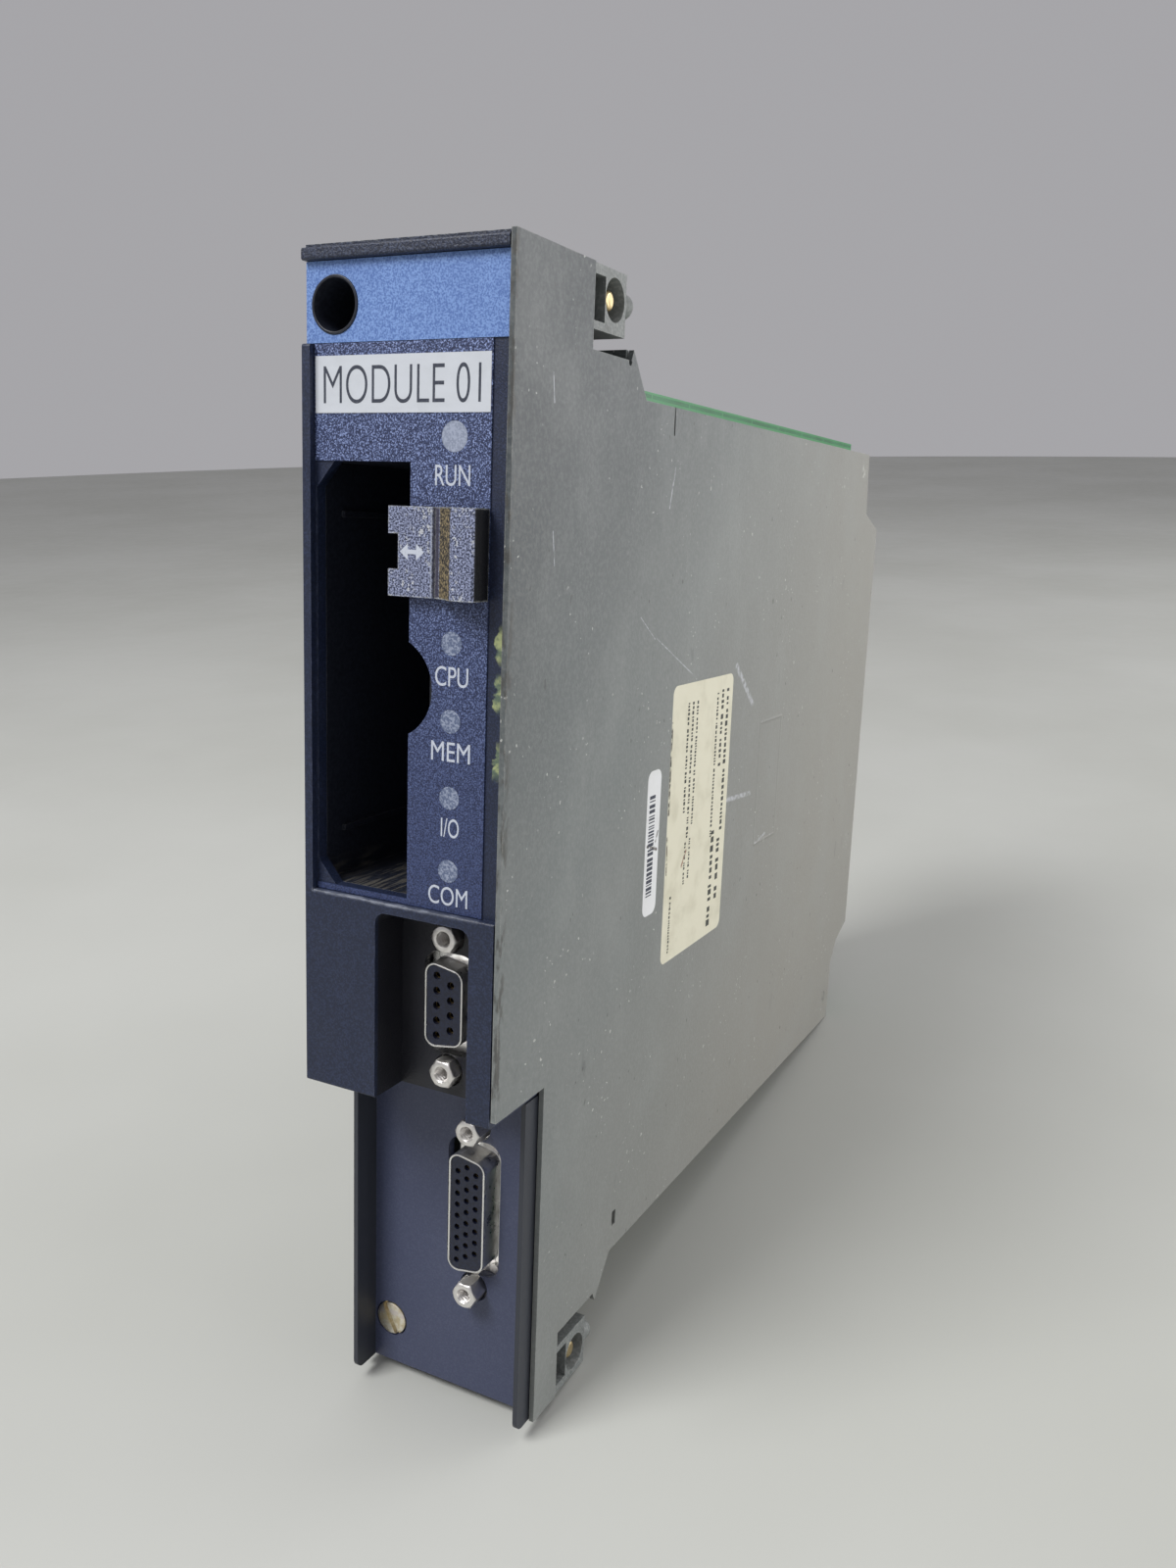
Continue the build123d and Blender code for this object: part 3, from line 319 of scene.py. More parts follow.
def bezel_plastic():
    """Navy moulding, with pale residue left along its right edge, painted shade in its port recess and a
    painted highlight along its ledge.
    """
    s, tone = grained_plastic("bezel_plastic", srgb(24, 32, 54), srgb(40, 50, 78), srgb(118, 126, 150),
                              wear=0.55)
    # painted shade: the port recess is near black inside
    recess_shade = s.sum("MULTIPLY", s.step(s.axis("Y"), BEZEL_Y + 0.0006, BEZEL_Y + 0.0012),
                  s.within(x=(-0.006, 0.0156), z=(0.06, 0.1015)))
    tone = s.mix(recess_shade, tone, srgb(25, 26, 34))
    # painted highlight: a bright line along the ledge and round its left corner, broken into streaks
    ledge_highlight = s.within(x=(-0.0186, 0.0156), y=(BEZEL_Y - 0.0002, BEZEL_Y + 0.0009), z=(0.1024, 0.1032),
                     soft=0.0002)
    wear_and_highlight_streaks = s.step(s.noise(0.0012, detail=4, stretch=(3, 1, 1)), 0.45, 0.65, 0.1, 0.5)
    tone = s.mix(s.sum("MULTIPLY", ledge_highlight, wear_and_highlight_streaks), tone, srgb(150, 156, 170))
    ragged = s.sum("MULTIPLY", s.sum("SUBTRACT", s.noise(0.0035, detail=4), 0.5), -0.007)
    rough_edge = s.sum("ADD", s.axis("X"), ragged)
    spans = [(0.1455, 0.1506), (0.1378, 0.1431), (0.127, 0.132)]
    patches = s.most(*[s.within(z=span, soft=0.0011) for span in spans])
    outside = s.step(s.axis("Y"), BEZEL_Y + 0.0014, BEZEL_Y + 0.0018, 1.0, 0.0)
    residue = s.sum("MULTIPLY", s.sum("MULTIPLY", patches, s.step(rough_edge, 0.0173, 0.0178)), outside)
    powder = s.mix(s.step(s.noise(0.0015), 0.35, 0.65), srgb(92, 108, 92), srgb(178, 186, 132))
    tone = s.mix(residue, tone, powder)
    return s.finish(tone, s.step(s.noise(0.008), 0.3, 0.7, 0.42, 0.55))


def panel_plastic():
    """Smoother dark blue-grey moulding of the lower panel."""
    s, tone = grained_plastic("panel_plastic", srgb(63, 69, 94), srgb(72, 78, 103), srgb(112, 117, 132),
                              depth=0.00002, wear=0.5)
    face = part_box("lower_screw")[0].y           # the screw's head lies flush with the panel
    # painted shade: the panel's walls behind its face are darker
    painted_wall_shade = s.step(s.axis("Y"), face, face + 0.0002, 1.0, 0.0)
    tone = s.mix(painted_wall_shade, tone, srgb(49, 52, 60))
    return s.finish(tone, s.step(s.noise(0.01), 0.3, 0.7, 0.42, 0.52))


def cap_plastic():
    """Dark grained strip with its top front edge rubbed pale."""
    s, tone = grained_plastic("cap_plastic", srgb(26, 32, 50), srgb(62, 70, 92), srgb(196, 200, 198),
                              depth=0.00012, wear=0.95)
    low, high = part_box("top_cap")
    rim = s.within(y=(low.y - 0.001, low.y + 0.0006), z=(high.z - 0.0004, high.z + 0.001), soft=0.0001)
    wear_and_highlight_streaks = s.step(s.noise(0.0015, detail=4, stretch=(3, 1, 1)), 0.38, 0.6, 0.2, 0.9)
    tone = s.mix(s.sum("MULTIPLY", rim, wear_and_highlight_streaks), tone, srgb(150, 158, 168))
    return s.finish(tone, 0.5)


def band_blue():
    """Blue moulding of the name band."""
    s, tone = grained_plastic("band_blue", srgb(82, 113, 174), srgb(124, 156, 212), srgb(128, 156, 206),
                              grain=0.0003, depth=0.00005, contrast=(0.34, 0.66), wear=0.3)
    return s.finish(tone, 0.5)


def film():
    """Navy polyester film with a coarse grain, its glints painted as pale specks that grow stronger towards
    the top, where the light from above falls.
    """
    s = Shade("film", specular=0.5)
    spots = s.noise(0.00026, detail=2.5)
    height = s.step(s.axis("Z"), 0.10, 0.19)
    # painted glints on the grain, stronger with height as painted light from above
    painted_glints = s.sum("MULTIPLY", s.step(spots, 0.48, 0.7), s.sum("MULTIPLY_ADD", height, 0.68, 0.03))
    tone = s.mix(s.step(spots, 0.32, 0.62), srgb(28, 36, 66), srgb(57, 70, 111))
    tone = s.mix(painted_glints, tone, srgb(172, 190, 240))
    s.relief(spots, 0.00007)
    return s.finish(tone, 0.45)


def paper(name, colour, soiled, creases=()):
    """Printed paper or vinyl label, slightly soiled. A crease is its start, end, width and colour, where
    start and end are depths and heights in millimetres on the right cover. Each crease is drawn as a broken
    line of its colour: painted shade in the fold where the colour is dark, a stain where it is brown."""
    s = Shade(name, specular=0.35)
    tone = s.mix(s.step(s.noise(0.006, detail=5), 0.45, 0.75, 0.0, 0.5), colour, soiled)
    tone = s.mix(s.sum("MULTIPLY", s.edges(0.0003), 0.35), tone, soiled)
    for start, end, width, shade_and_stain_colour in creases:
        line = s.streak(mm(COVER_X / MM, *start), mm(COVER_X / MM, *end), width * MM)
        shade_and_stain_line = s.sum("MULTIPLY", line, s.step(s.noise(0.0012, detail=4), 0.36, 0.56))
        tone = s.mix(shade_and_stain_line, tone, shade_and_stain_colour)
    s.relief(s.noise(0.0004, detail=2), 0.00001)
    s.relief(s.noise(0.007, detail=2, stretch=(1, 1, 0.4)), 0.00012)
    return s.finish(tone, s.step(s.noise(0.01), 0.3, 0.7, 0.45, 0.6))


def ink(name, colour):
    """Screen-printed ink, slightly broken up by what it lies on."""
    s = Shade(name, specular=0.3)
    tone = s.mix(s.step(s.noise(0.0003, detail=2), 0.55, 0.75, 0.0, 0.35), colour, srgb(120, 124, 138))
    s.relief(s.noise(0.0003), 0.00002)
    return s.finish(tone, 0.6)


def lamp_lens():
    """Pale lilac window with a fine frosting."""
    s = Shade("lamp_lens", specular=0.5)
    spots = s.noise(0.00034, detail=1.5)
    bright = s.step(s.axis("Z"), 0.150, 0.178)
    base = s.mix(bright, srgb(92, 104, 132), srgb(138, 146, 166))
    tone = s.mix(s.step(spots, 0.42, 0.64, 0.0, 0.55), base, srgb(178, 186, 206))
    s.relief(spots, 0.00002)
    s.shader.inputs["Coat Weight"].default_value = 0.15
    return s.finish(tone, 0.4)


def black_plastic(name, tone, roughness=0.5):
    """Plain moulding of that grey tone from 0 to 255, dusty and paler where its edges have worn."""
    s = Shade(name, specular=0.45)
    grain = s.noise(0.0005, detail=2)
    pale = tone + 12
    colour = s.mix(s.step(grain, 0.35, 0.7), srgb(tone, tone, tone + 3), srgb(pale, pale, pale + 4))
    dusty = s.step(s.noise(0.006, detail=5), 0.5, 0.72, 0.0, 0.3)
    colour = s.mix(dusty, colour, srgb(74, 70, 64))
    worn = s.sum("MULTIPLY", s.edges(0.00025), s.step(s.noise(0.001), 0.4, 0.6, 0.1, 0.35))
    s.relief(grain, 0.00003)
    return s.finish(s.mix(worn, colour, srgb(128, 128, 128)), roughness)


def insulator():
    """Blue-black moulding that carries the contacts of a port."""
    s = Shade("insulator_blue", specular=0.5)
    grain = s.noise(0.0004, detail=2)
    tone = s.mix(s.step(grain, 0.35, 0.7), srgb(13, 18, 36), srgb(24, 31, 54))
    s.relief(grain, 0.00001)
    return s.finish(tone, 0.38)


def pocket_plastic():
    """Black pocket, brushed pale by cartridges along the front of its floor."""
    s = Shade("pocket_plastic", specular=0.4)
    grain = s.noise(0.0006, detail=2)
    colour = s.mix(s.step(grain, 0.35, 0.7), srgb(25, 28, 38), srgb(39, 43, 54))
    scoop = s.step(s.axis("X"), SCOOP_X + 0.0003, SCOOP_X + 0.0006)
    colour = s.mix(scoop, colour, srgb(34, 40, 58))
    wear_and_highlight_streaks = s.step(s.noise(0.0012, detail=4, stretch=(0.5, 7, 1)), 0.48, 0.64)
    near = s.within(y=(BEZEL_Y, BEZEL_Y + 0.022), z=(0.1028, 0.1046), soft=0.004)
    colour = s.mix(s.sum("MULTIPLY", wear_and_highlight_streaks, s.sum("MULTIPLY", near, 0.7)), colour, srgb(140, 134, 120))
    worn = s.sum("MULTIPLY", s.edges(0.0003), s.step(s.noise(0.001), 0.4, 0.6, 0.1, 0.4))
    s.relief(grain, 0.00003)
    return s.finish(s.mix(worn, colour, srgb(140, 140, 136)), 0.42)


def latch_plastic():
    """Worn black latch: speckled plate, rough ramp, rubbed pale grip edges."""
    s = Shade("latch_plastic", specular=0.5)
    spots = s.noise(0.0003, detail=3)
    tone = s.mix(s.step(spots, 0.42, 0.6), srgb(46, 52, 75), srgb(152, 160, 192))
    chips = s.step(s.noise(0.0006, detail=3), 0.56, 0.64)
    chipped = s.sum("MULTIPLY", chips, s.step(s.noise(0.004), 0.4, 0.58))
    tone = s.mix(s.sum("MULTIPLY", chipped, 0.7), tone, srgb(206, 208, 208))
    groove = s.within(x=(0.0062, 0.0074), soft=0.0001)
    tone = s.mix(groove, tone, srgb(52, 50, 70))
    ramp = s.within(x=(0.0076, 0.0112), soft=0.0002)
    earthy = s.mix(s.step(s.noise(0.0004, detail=4), 0.42, 0.66), srgb(34, 31, 28), srgb(150, 134, 100))
    tone = s.mix(ramp, tone, earthy)
    line = s.within(x=(0.0058, 0.0061), soft=0.00005)
    tone = s.mix(s.sum("MULTIPLY", line, 0.5), tone, srgb(156, 162, 178))
    # painted shade: the latch's right side face, and what of it lies behind the front frame, are near black
    side = s.step(s.axis("X"), 0.01565, 0.0157)
    behind = s.step(s.axis("Y"), BEZEL_Y - 0.0002, BEZEL_Y + 0.0004)
    tone = s.mix(s.most(side, behind), tone, srgb(20, 21, 25))
    worn = s.sum("MULTIPLY", s.edges(0.0006), s.step(s.noise(0.0011, detail=4), 0.4, 0.56, 0.25, 1.0))
    tone = s.mix(worn, tone, srgb(206, 208, 206))
    s.relief(spots, 0.00012)
    return s.finish(tone, s.step(spots, 0.3, 0.7, 0.38, 0.55))


def metal(name, colour, roughness=0.28, tarnish=None, brushed=(1, 1, 1)):
    """Plated or bare metal with tarnish in patches and fine tool marks."""
    s = Shade(name, metallic=1.0)
    patches = s.noise(0.002, detail=4)
    dull = tarnish or tuple(0.6 * part for part in colour[:3]) + (1.0,)
    tone = s.mix(s.step(patches, 0.5, 0.8, 0.0, 0.7), colour, dull)
    lines = s.noise(0.0004, detail=2, stretch=brushed)
    s.relief(lines, 0.000003)
    return s.finish(tone, s.step(patches, 0.3, 0.7, roughness * 0.8, roughness * 1.5))


def zinc_plate():
    """Yellow passivated plate with faint rainbow patches."""
    s = Shade("screw_zinc", metallic=1.0)
    patches = s.noise(0.0016, detail=3)
    tone = s.mix(s.step(patches, 0.42, 0.66), srgb(244, 238, 222), srgb(220, 206, 172))
    tone = s.mix(s.step(s.noise(0.0024, detail=2), 0.56, 0.7, 0.0, 0.4), tone, srgb(210, 196, 204))
    s.relief(s.noise(0.0005, detail=2), 0.000004)
    return s.finish(tone, s.step(patches, 0.3, 0.7, 0.34, 0.46))


def lug_cast():
    """Grey casting of the lugs, grimy in patches."""
    s, tone = grained_plastic("lug_cast", srgb(112, 116, 115), srgb(136, 139, 137), srgb(190, 192, 188),
                              grain=0.0006, wear=0.8)
    grime = s.step(s.noise(0.003, detail=5), 0.55, 0.72, 0.0, 0.5)
    return s.finish(s.mix(grime, tone, srgb(72, 73, 70)), 0.5)


def board_green():
    """Solder resist over copper tracks, with the bare laminate at the board's edges."""
    s = Shade("board_green", specular=0.5)
    tracks = s.nodes.new("ShaderNodeTexBrick")
    flat = s.nodes.new("ShaderNodeCombineXYZ")
    s.give(flat.inputs[0], s.axis("Y"))
    s.give(flat.inputs[1], s.axis("Z"))
    s.give(tracks.inputs["Vector"], flat.outputs[0])
    layout = {"Scale": 1.0, "Mortar Size": 0.00028, "Brick Width": 0.019, "Row Height": 0.00127,
              "Mortar Smooth": 0.1}
    for name, value in layout.items():
        tracks.inputs[name].default_value = value
    resist = s.mix(s.step(s.noise(0.01, detail=3), 0.35, 0.7), srgb(18, 104, 56), srgb(24, 122, 68))
    copper = s.mix(s.sum("MULTIPLY", tracks.outputs["Fac"], 0.6), resist, srgb(70, 160, 96))
    normal = s.nodes.new("ShaderNodeSeparateXYZ")
    s.give(normal.inputs[0], s.nodes.new("ShaderNodeNewGeometry").outputs["Normal"])
    sideways = s.sum("ABSOLUTE", normal.outputs["X"])
    fibres = s.step(s.noise(0.0008, detail=3, stretch=(0.3, 3, 1)), 0.35, 0.65)
    laminate = s.mix(fibres, srgb(46, 150, 92), srgb(110, 196, 138))
    tone = s.mix(s.step(sideways, 0.4, 0.6), laminate, copper)
    s.relief(tracks.outputs["Fac"], 0.00003)
    return s.finish(tone, 0.32)


def glass_lamp():
    """Milky epoxy of the small lamps behind the windows."""
    s = Shade("led_epoxy", specular=0.5)
    s.shader.inputs["Transmission Weight"].default_value = 0.5
    tone = s.mix(s.step(s.noise(0.001), 0.4, 0.6), srgb(196, 190, 186), srgb(176, 170, 168))
    return s.finish(tone, 0.15)


# rating label: dark lines painted as the shade in folds along its left edge, and a brown stain
SPEC_CREASES = [
    ((66.9, 128.0), (67.1, 109.0), 0.55, srgb(58, 54, 46)),
    ((75.4, 96.0), (77.6, 99.0), 0.5, srgb(150, 112, 92)),
    ((67.0, 104.0), (67.4, 96.0), 0.4, srgb(96, 90, 78)),
]
# barcode label: dark lines painted as the shade in its wrinkle
BAR_CREASES = [
    ((57.0, 104.2), (61.6, 102.8), 0.5, srgb(84, 78, 72)),
    ((61.9, 106.5), (60.2, 103.2), 0.4, srgb(96, 92, 86)),
]
MATERIALS = {
    "cover_paint": cover_paint(),
    "cap_plastic": cap_plastic(),
    "bezel_plastic": bezel_plastic(),
    "band_blue": band_blue(),
    "film": film(),
    "title_paper": paper("title_paper", srgb(203, 207, 214), srgb(190, 194, 199)),
    "lamp_lens": lamp_lens(),
    "led_epoxy": glass_lamp(),
    "pocket_plastic": pocket_plastic(),
    "socket_plastic": black_plastic("socket_plastic", tone=26),
    "latch_plastic": latch_plastic(),
    "spring_steel": metal("spring_steel", srgb(190, 190, 192), brushed=(8, 1, 1)),
    "shell_nickel": metal("shell_nickel", srgb(236, 235, 232), roughness=0.3,
                          tarnish=srgb(200, 196, 188)),
    "insulator_blue": insulator(),
    "contact_gold": metal("contact_gold", srgb(120, 104, 72), roughness=0.4),
    "nut_nickel": metal("nut_nickel", srgb(234, 231, 228), roughness=0.36, tarnish=srgb(202, 197, 190)),
    "port_body": black_plastic("port_body", tone=36),
    "lug_cast": lug_cast(),
    "brass": metal("brass", srgb(190, 172, 132), roughness=0.35, tarnish=srgb(140, 120, 84)),
    "screw_zinc": zinc_plate(),
    "board_green": board_green(),
    "chip_black": black_plastic("chip_black", tone=30, roughness=0.45),
    "capacitor_sleeve": black_plastic("capacitor_sleeve", tone=34, roughness=0.3),
    "crystal_can": metal("crystal_can", srgb(200, 200, 196), roughness=0.22),
    "connector_grey": black_plastic("connector_grey", tone=150, roughness=0.5),
    "spec_paper": paper("spec_paper", srgb(222, 218, 197), srgb(192, 187, 164),
                        creases=SPEC_CREASES),
    "bar_paper": paper("bar_paper", srgb(226, 227, 228), srgb(204, 204, 202),
                       creases=BAR_CREASES),
}
OWN_LOOK = {
    # nodes that look different from the rest of their slot
    "lower_panel": panel_plastic(),
    "cover_rivets": metal("dull_rivet", srgb(158, 158, 153), roughness=0.5, tarnish=srgb(96, 96, 92)),
}
WHITE_INK = ink("white_ink", srgb(196, 202, 214))
GREY_INK = ink("grey_ink", srgb(62, 66, 78))
LABEL_INK = ink("label_ink", srgb(62, 64, 58))


def dress_frame():
    """Give every CAD node its own look, or the material of its slot."""
    slots = {part["node"]: part["material_slot"] for part in frame["record"]["subparts"]}
    for name, node in NODES.items():
        node.data.materials.clear()
        node.data.materials.append(OWN_LOOK.get(name) or MATERIALS[slots[name]])


ROUNDED = {
    # node: radius of its rounded edges in millimetres
    "right_cover": 0.25, "left_cover": 0.25, "top_cap": 0.2, "front_bezel": 0.2, "lower_panel": 0.25,
    "cartridge_latch": 0.15, "cartridge_pocket": 0.12, "upper_lug": 0.25, "lower_lug": 0.25,
    "port9_shell": 0.18, "port26_shell": 0.18, "rear_connector_upper": 0.15, "rear_connector_lower": 0.15,
    "screw_sleeve": 0.12, "processor_chip": 0.3, "memory_chips": 0.3, "logic_chips": 0.3,
    "cartridge_socket": 0.1,
}


def round_edges():
    """Round the hard edges of the larger CAD nodes a little."""
    for name, radius in ROUNDED.items():
        weld = NODES[name].modifiers.new("weld", "WELD")
        weld.merge_threshold = 0.000002
        bevel = NODES[name].modifiers.new("bevel", "BEVEL")
        bevel.width = radius * MM
        bevel.segments = 2
        bevel.limit_method = "ANGLE"
        bevel.angle_limit = radians(40)


# ---------------------------------------------------------------- pieces made here
def add_piece(name, mesh, material, body):
    """Visual piece that moves with body and takes material."""
    piece = bpy.data.objects.new(name, mesh)
    bpy.context.scene.collection.objects.link(piece)
    mesh.materials.clear()
    mesh.materials.append(material)
    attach(piece, body)
    return piece


def lettering(name, words, middle, height, width, lift, material, slot, thin=0.0):
    """Raised print facing forwards, its box width wide and height high in millimetres."""
    curve = bpy.data.curves.new(name, "FONT")
    curve.body = words
    curve.extrude = 0.01
    curve.offset = -thin
    text = bpy.data.objects.new(name, curve)
    bpy.context.scene.collection.objects.link(text)
    bpy.context.view_layer.update()
    mesh = bpy.data.meshes.new_from_object(text.evaluated_get(bpy.context.evaluated_depsgraph_get()))
    bpy.data.objects.remove(text)
    places = [v.co.copy() for v in mesh.vertices]
    low = Vector([min(p[i] for p in places) for i in range(3)])
    high = Vector([max(p[i] for p in places) for i in range(3)])
    wanted = Vector((width * MM, height * MM, lift * MM))
    for vertex in mesh.vertices:
        share = [(vertex.co[i] - low[i]) / (high[i] - low[i]) for i in range(3)]
        vertex.co = (middle.x + (share[0] - 0.5) * wanted.x, middle.y - share[2] * wanted.z,
                     middle.z + (share[1] - 0.5) * wanted.y)
    mesh.name = name
    return add_piece(name, mesh, material, "module")


def boxes_mesh(name, boxes):
    """One mesh of closed boxes, each from its lowest and highest corner."""
    form = bmesh.new()
    for low, high in boxes:
        made = bmesh.ops.create_cube(form, size=1.0)["verts"]
        middle, size = (low + high) / 2, high - low
        bmesh.ops.transform(form, matrix=Matrix.Translation(middle) @ Matrix.Diagonal((*size, 1)), verts=made)
    mesh = bpy.data.meshes.new(name)
    form.to_mesh(mesh)
    form.free()
    return mesh


PRINT_T = 0.02                          # thickness of printed ink, mm
CAPTION_HEIGHT = 3.2                    # mm
CAPTIONS = {
    # words, middle across and up, width, all in millimetres
    "run": ("RUN", 8.65, 174.0, 6.5),
    "processor": ("CPU", 9.05, 142.5, 6.3),
    "memory": ("MEM", 9.05, 130.2, 7.5),
    "io": ("I/O", 9.15, 117.5, 3.5),
    "link": ("COM", 8.95, 105.8, 7.7),
}
TITLE_MIDDLE, TITLE_SIZE = (-1.4, 187.9), (5.9, 30.0)   # across and up; height and width, mm


def add_print():
    """Captions under the lamps, and the words on the title label."""
    for name, (words, x, z, width) in CAPTIONS.items():
        middle = Vector((x * MM, FACE_Y, z * MM))
        lettering(f"{name}_caption", words, middle, CAPTION_HEIGHT, width, PRINT_T, WHITE_INK, "title_paper")
    title = Vector((TITLE_MIDDLE[0] * MM, TITLE_Y, TITLE_MIDDLE[1] * MM))
    lettering("title_words", "MODULE 01", title, *TITLE_SIZE, PRINT_T, GREY_INK, "pocket_plastic", thin=0.012)


TYPE_ROWS = [
    # depth, top, bottom and height of a row of small type on the rating label, in millimetres
    (97.6, 132.5, 100.0, 1.5), (94.6, 132.5, 115.5, 1.5), (91.6, 132.0, 99.0, 1.0), (80.0, 131.5, 104.5, 1.0),
    (77.6, 131.5, 102.0, 1.0), (75.2, 131.5, 108.0, 1.0), (96.6, 98.0, 82.5, 1.9), (92.9, 100.5, 78.5, 1.9),
    (79.3, 101.5, 93.0, 0.8), (76.9, 101.0, 91.5, 0.8), (70.2, 90.5, 78.0, 0.8),
]
BARCODE_DEPTH, BARCODE_SPAN, BARCODE_HEIGHT = 58.6, (93.5, 114.5), 2.7     # mm


def add_label_print():
    """Rows of short bars in place of the small type on the two labels of the right cover."""
    draw = random.Random(7)
    boxes = []

    def bar(depth, thick, top, bottom):
        low = mm(COVER_X / MM, depth - thick / 2, bottom)
        high = mm(COVER_X / MM + PRINT_T, depth + thick / 2, top)
        boxes.append((low, high))

    inked, word_gap, letter_gap, word_end = 0.72, 0.6, 0.12, 0.16
    for depth, top, bottom, thick in TYPE_ROWS:
        level = top
        while level > bottom:
            long = draw.uniform(0.4, 1.1) * thick
            shift = draw.uniform(-0.08, 0.08)
            bar(depth + shift, thick * draw.uniform(0.7, 1.0), level, level - long * inked)
            level -= long + (word_gap * thick if draw.random() < word_end else letter_gap * thick)
    type_mesh = boxes_mesh("spec_label_print", boxes)
    add_piece("spec_label_print", type_mesh, LABEL_INK, "module")
    boxes.clear()
    level = BARCODE_SPAN[1]
    while level > BARCODE_SPAN[0]:
        width = draw.choice((0.25, 0.4, 0.7))
        bar(BARCODE_DEPTH, BARCODE_HEIGHT, level, level - width)
        level -= width + draw.choice((0.25, 0.35, 0.55))
    bar_mesh = boxes_mesh("barcode_bars", boxes)
    add_piece("barcode_bars", bar_mesh, GREY_INK, "module")


LATCH_PLATE = -0.5                      # front of the latch's plate, behind the front frame, mm
MARK_X, MARK_Z = 2.3, 162.0             # middle of the double arrow, mm
MARK_TIP, MARK_NECK, MARK_BARB, MARK_SHAFT = 2.3, 0.8, 1.3, 0.35    # out from its middle, across and up, mm
INK_SINK = 0.01                         # how deep the ink reaches into what it lies on, mm


def add_latch_mark():
    """Plain double arrow that shows which way the latch slides."""
    form = bmesh.new()
    front = mm(0, LATCH_PLATE, 0).y
    right = [(MARK_NECK, MARK_SHAFT), (MARK_NECK, MARK_BARB), (MARK_TIP, 0), (MARK_NECK, -MARK_BARB),
             (MARK_NECK, -MARK_SHAFT)]
    left = [(-x, -z) for x, z in right]
    outline = left[2:] + right + left[:2]
    back = [form.verts.new(((MARK_X + x) * MM, front + INK_SINK * MM, (MARK_Z + z) * MM)) for x, z in outline]
    face = form.faces.new(back)
    made = bmesh.ops.extrude_face_region(form, geom=[face])["geom"]
    raised = [item for item in made if isinstance(item, bmesh.types.BMVert)]
    bmesh.ops.translate(form, vec=(0, -(PRINT_T + INK_SINK) * MM, 0), verts=raised)
    bmesh.ops.recalc_face_normals(form, faces=form.faces)
    mesh = bpy.data.meshes.new("latch_mark")
    form.to_mesh(mesh)
    form.free()
    add_piece("latch_mark", mesh, WHITE_INK, "latch")


# ---------------------------------------------------------------- turned pieces: jack nuts and screws
SEGMENTS = 48
SHARP = 35                              # degrees between faces from which an edge stays sharp


def ring_mesh(name, axis_place, rings, closed_bore=False):
    """Closed skin through rings round an axis along Y. A ring is its depth in millimetres and a radius in
    millimetres, or a function that gives the radius at an angle. Flat faces close the two ends, or with
    closed_bore the last ring joins the first."""
    form = bmesh.new()
    loops = []
    for depth, radius in rings:
        loop = []
        for index in range(SEGMENTS):
            angle = 2 * pi * index / SEGMENTS
            reach = (radius(angle) if callable(radius) else radius) * MM
            loop.append(form.verts.new((axis_place.x + reach * cos(angle), axis_place.y + depth * MM,
                                        axis_place.z + reach * sin(angle))))
        loops.append(loop)
    pairs = list(zip(loops, loops[1:]))
    if closed_bore:
        pairs.append((loops[-1], loops[0]))
    for first, second in pairs:
        for index in range(SEGMENTS):
            after = (index + 1) % SEGMENTS
            form.faces.new((first[index], first[after], second[after], second[index]))
    if not closed_bore:
        form.faces.new(loops[0])
        form.faces.new(loops[-1])
    bmesh.ops.recalc_face_normals(form, faces=form.faces)
    mesh = bpy.data.meshes.new(name)
    form.to_mesh(mesh)
    form.free()
    return mesh


def thread(depth, crest, root, pitch):
    """Radius of a screw thread at this depth, by angle."""
    def radius(angle):
        turn = (depth / pitch + angle / (2 * pi)) % 1.0
        return root + (crest - root) * abs(2 * turn - 1)
    return radius


def steps(start, end, count):
    """Evenly spaced values from start to end."""
    return [start + (end - start) * index / count for index in range(count + 1)]


# jack nuts, in millimetres
NUT_FLAT = 4.75 / 2
NUT_BORE, NUT_THREAD, NUT_PITCH, NUT_BORE_LONG = 1.12, 1.38, 0.64, 4.0
NUT_SPREAD = {"port9": 24.99, "port26": 33.32}
FLANGE_T = 0.8                          # the shell's flange, which the nuts stand on


def nut_mesh(name, place, long):
    """Jack nut: chamfered hexagon with a threaded bore, from its front face back."""
    def hexagon(limit):
        def radius(angle):
            return min(NUT_FLAT / cos((angle % (pi / 3)) - pi / 6), limit)
        return radius
    # the chamfer cuts the hexagon's corners back to these radii
    corners = [(0.08, 2.34), (0.25, 2.55), (0.4, 3.0), (long, 3.0)]
    outer = [(0.0, 2.2)] + [(depth, hexagon(limit)) for depth, limit in corners]
    rear = [(long, 0.2), (NUT_BORE_LONG, 0.2)]
    depths = steps(NUT_BORE_LONG, 0.3, 30)
    bore = [(depth, thread(depth, NUT_THREAD, NUT_BORE, NUT_PITCH)) for depth in depths]
    mouth = [(0.08, 1.4), (0.0, 1.5)]
    return ring_mesh(name, place, outer + rear + bore + mouth, closed_bore=True)


def add_nuts():
    """Detailed jack nuts in place of the plain ones."""
    for port, spread in NUT_SPREAD.items():
        low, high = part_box(f"{port}_nuts")
        x = (low.x + high.x) / 2
        middle = (low.z + high.z) / 2
        long = (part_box(f"{port}_shell")[1].y - low.y) / MM - FLANGE_T
        for side, where in ((1, "top"), (-1, "foot")):
            place = Vector((x, low.y, middle + side * spread * MM / 2))
            name = f"{port}_nut_{where}"
            mesh = nut_mesh(name, place, long)
            piece = add_piece(name, mesh, MATERIALS["nut_nickel"], "module")
            shade_by_angle(piece, SHARP)
            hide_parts(f"{port}_nuts")


# fixing screws, in millimetres
HEAD_R, HEAD_T, SHANK_R, ROOT_R, PITCH, THREAD_LONG = 3.4, 2.2, 2.0, 1.7, 0.7, 10.0
SLOT_REACH, SLOT_DEPTH, SLOT_HALF = 5, 1.1, 0.5
SLOT_TILT = {"upper_screw": radians(35), "lower_screw": radians(62)}


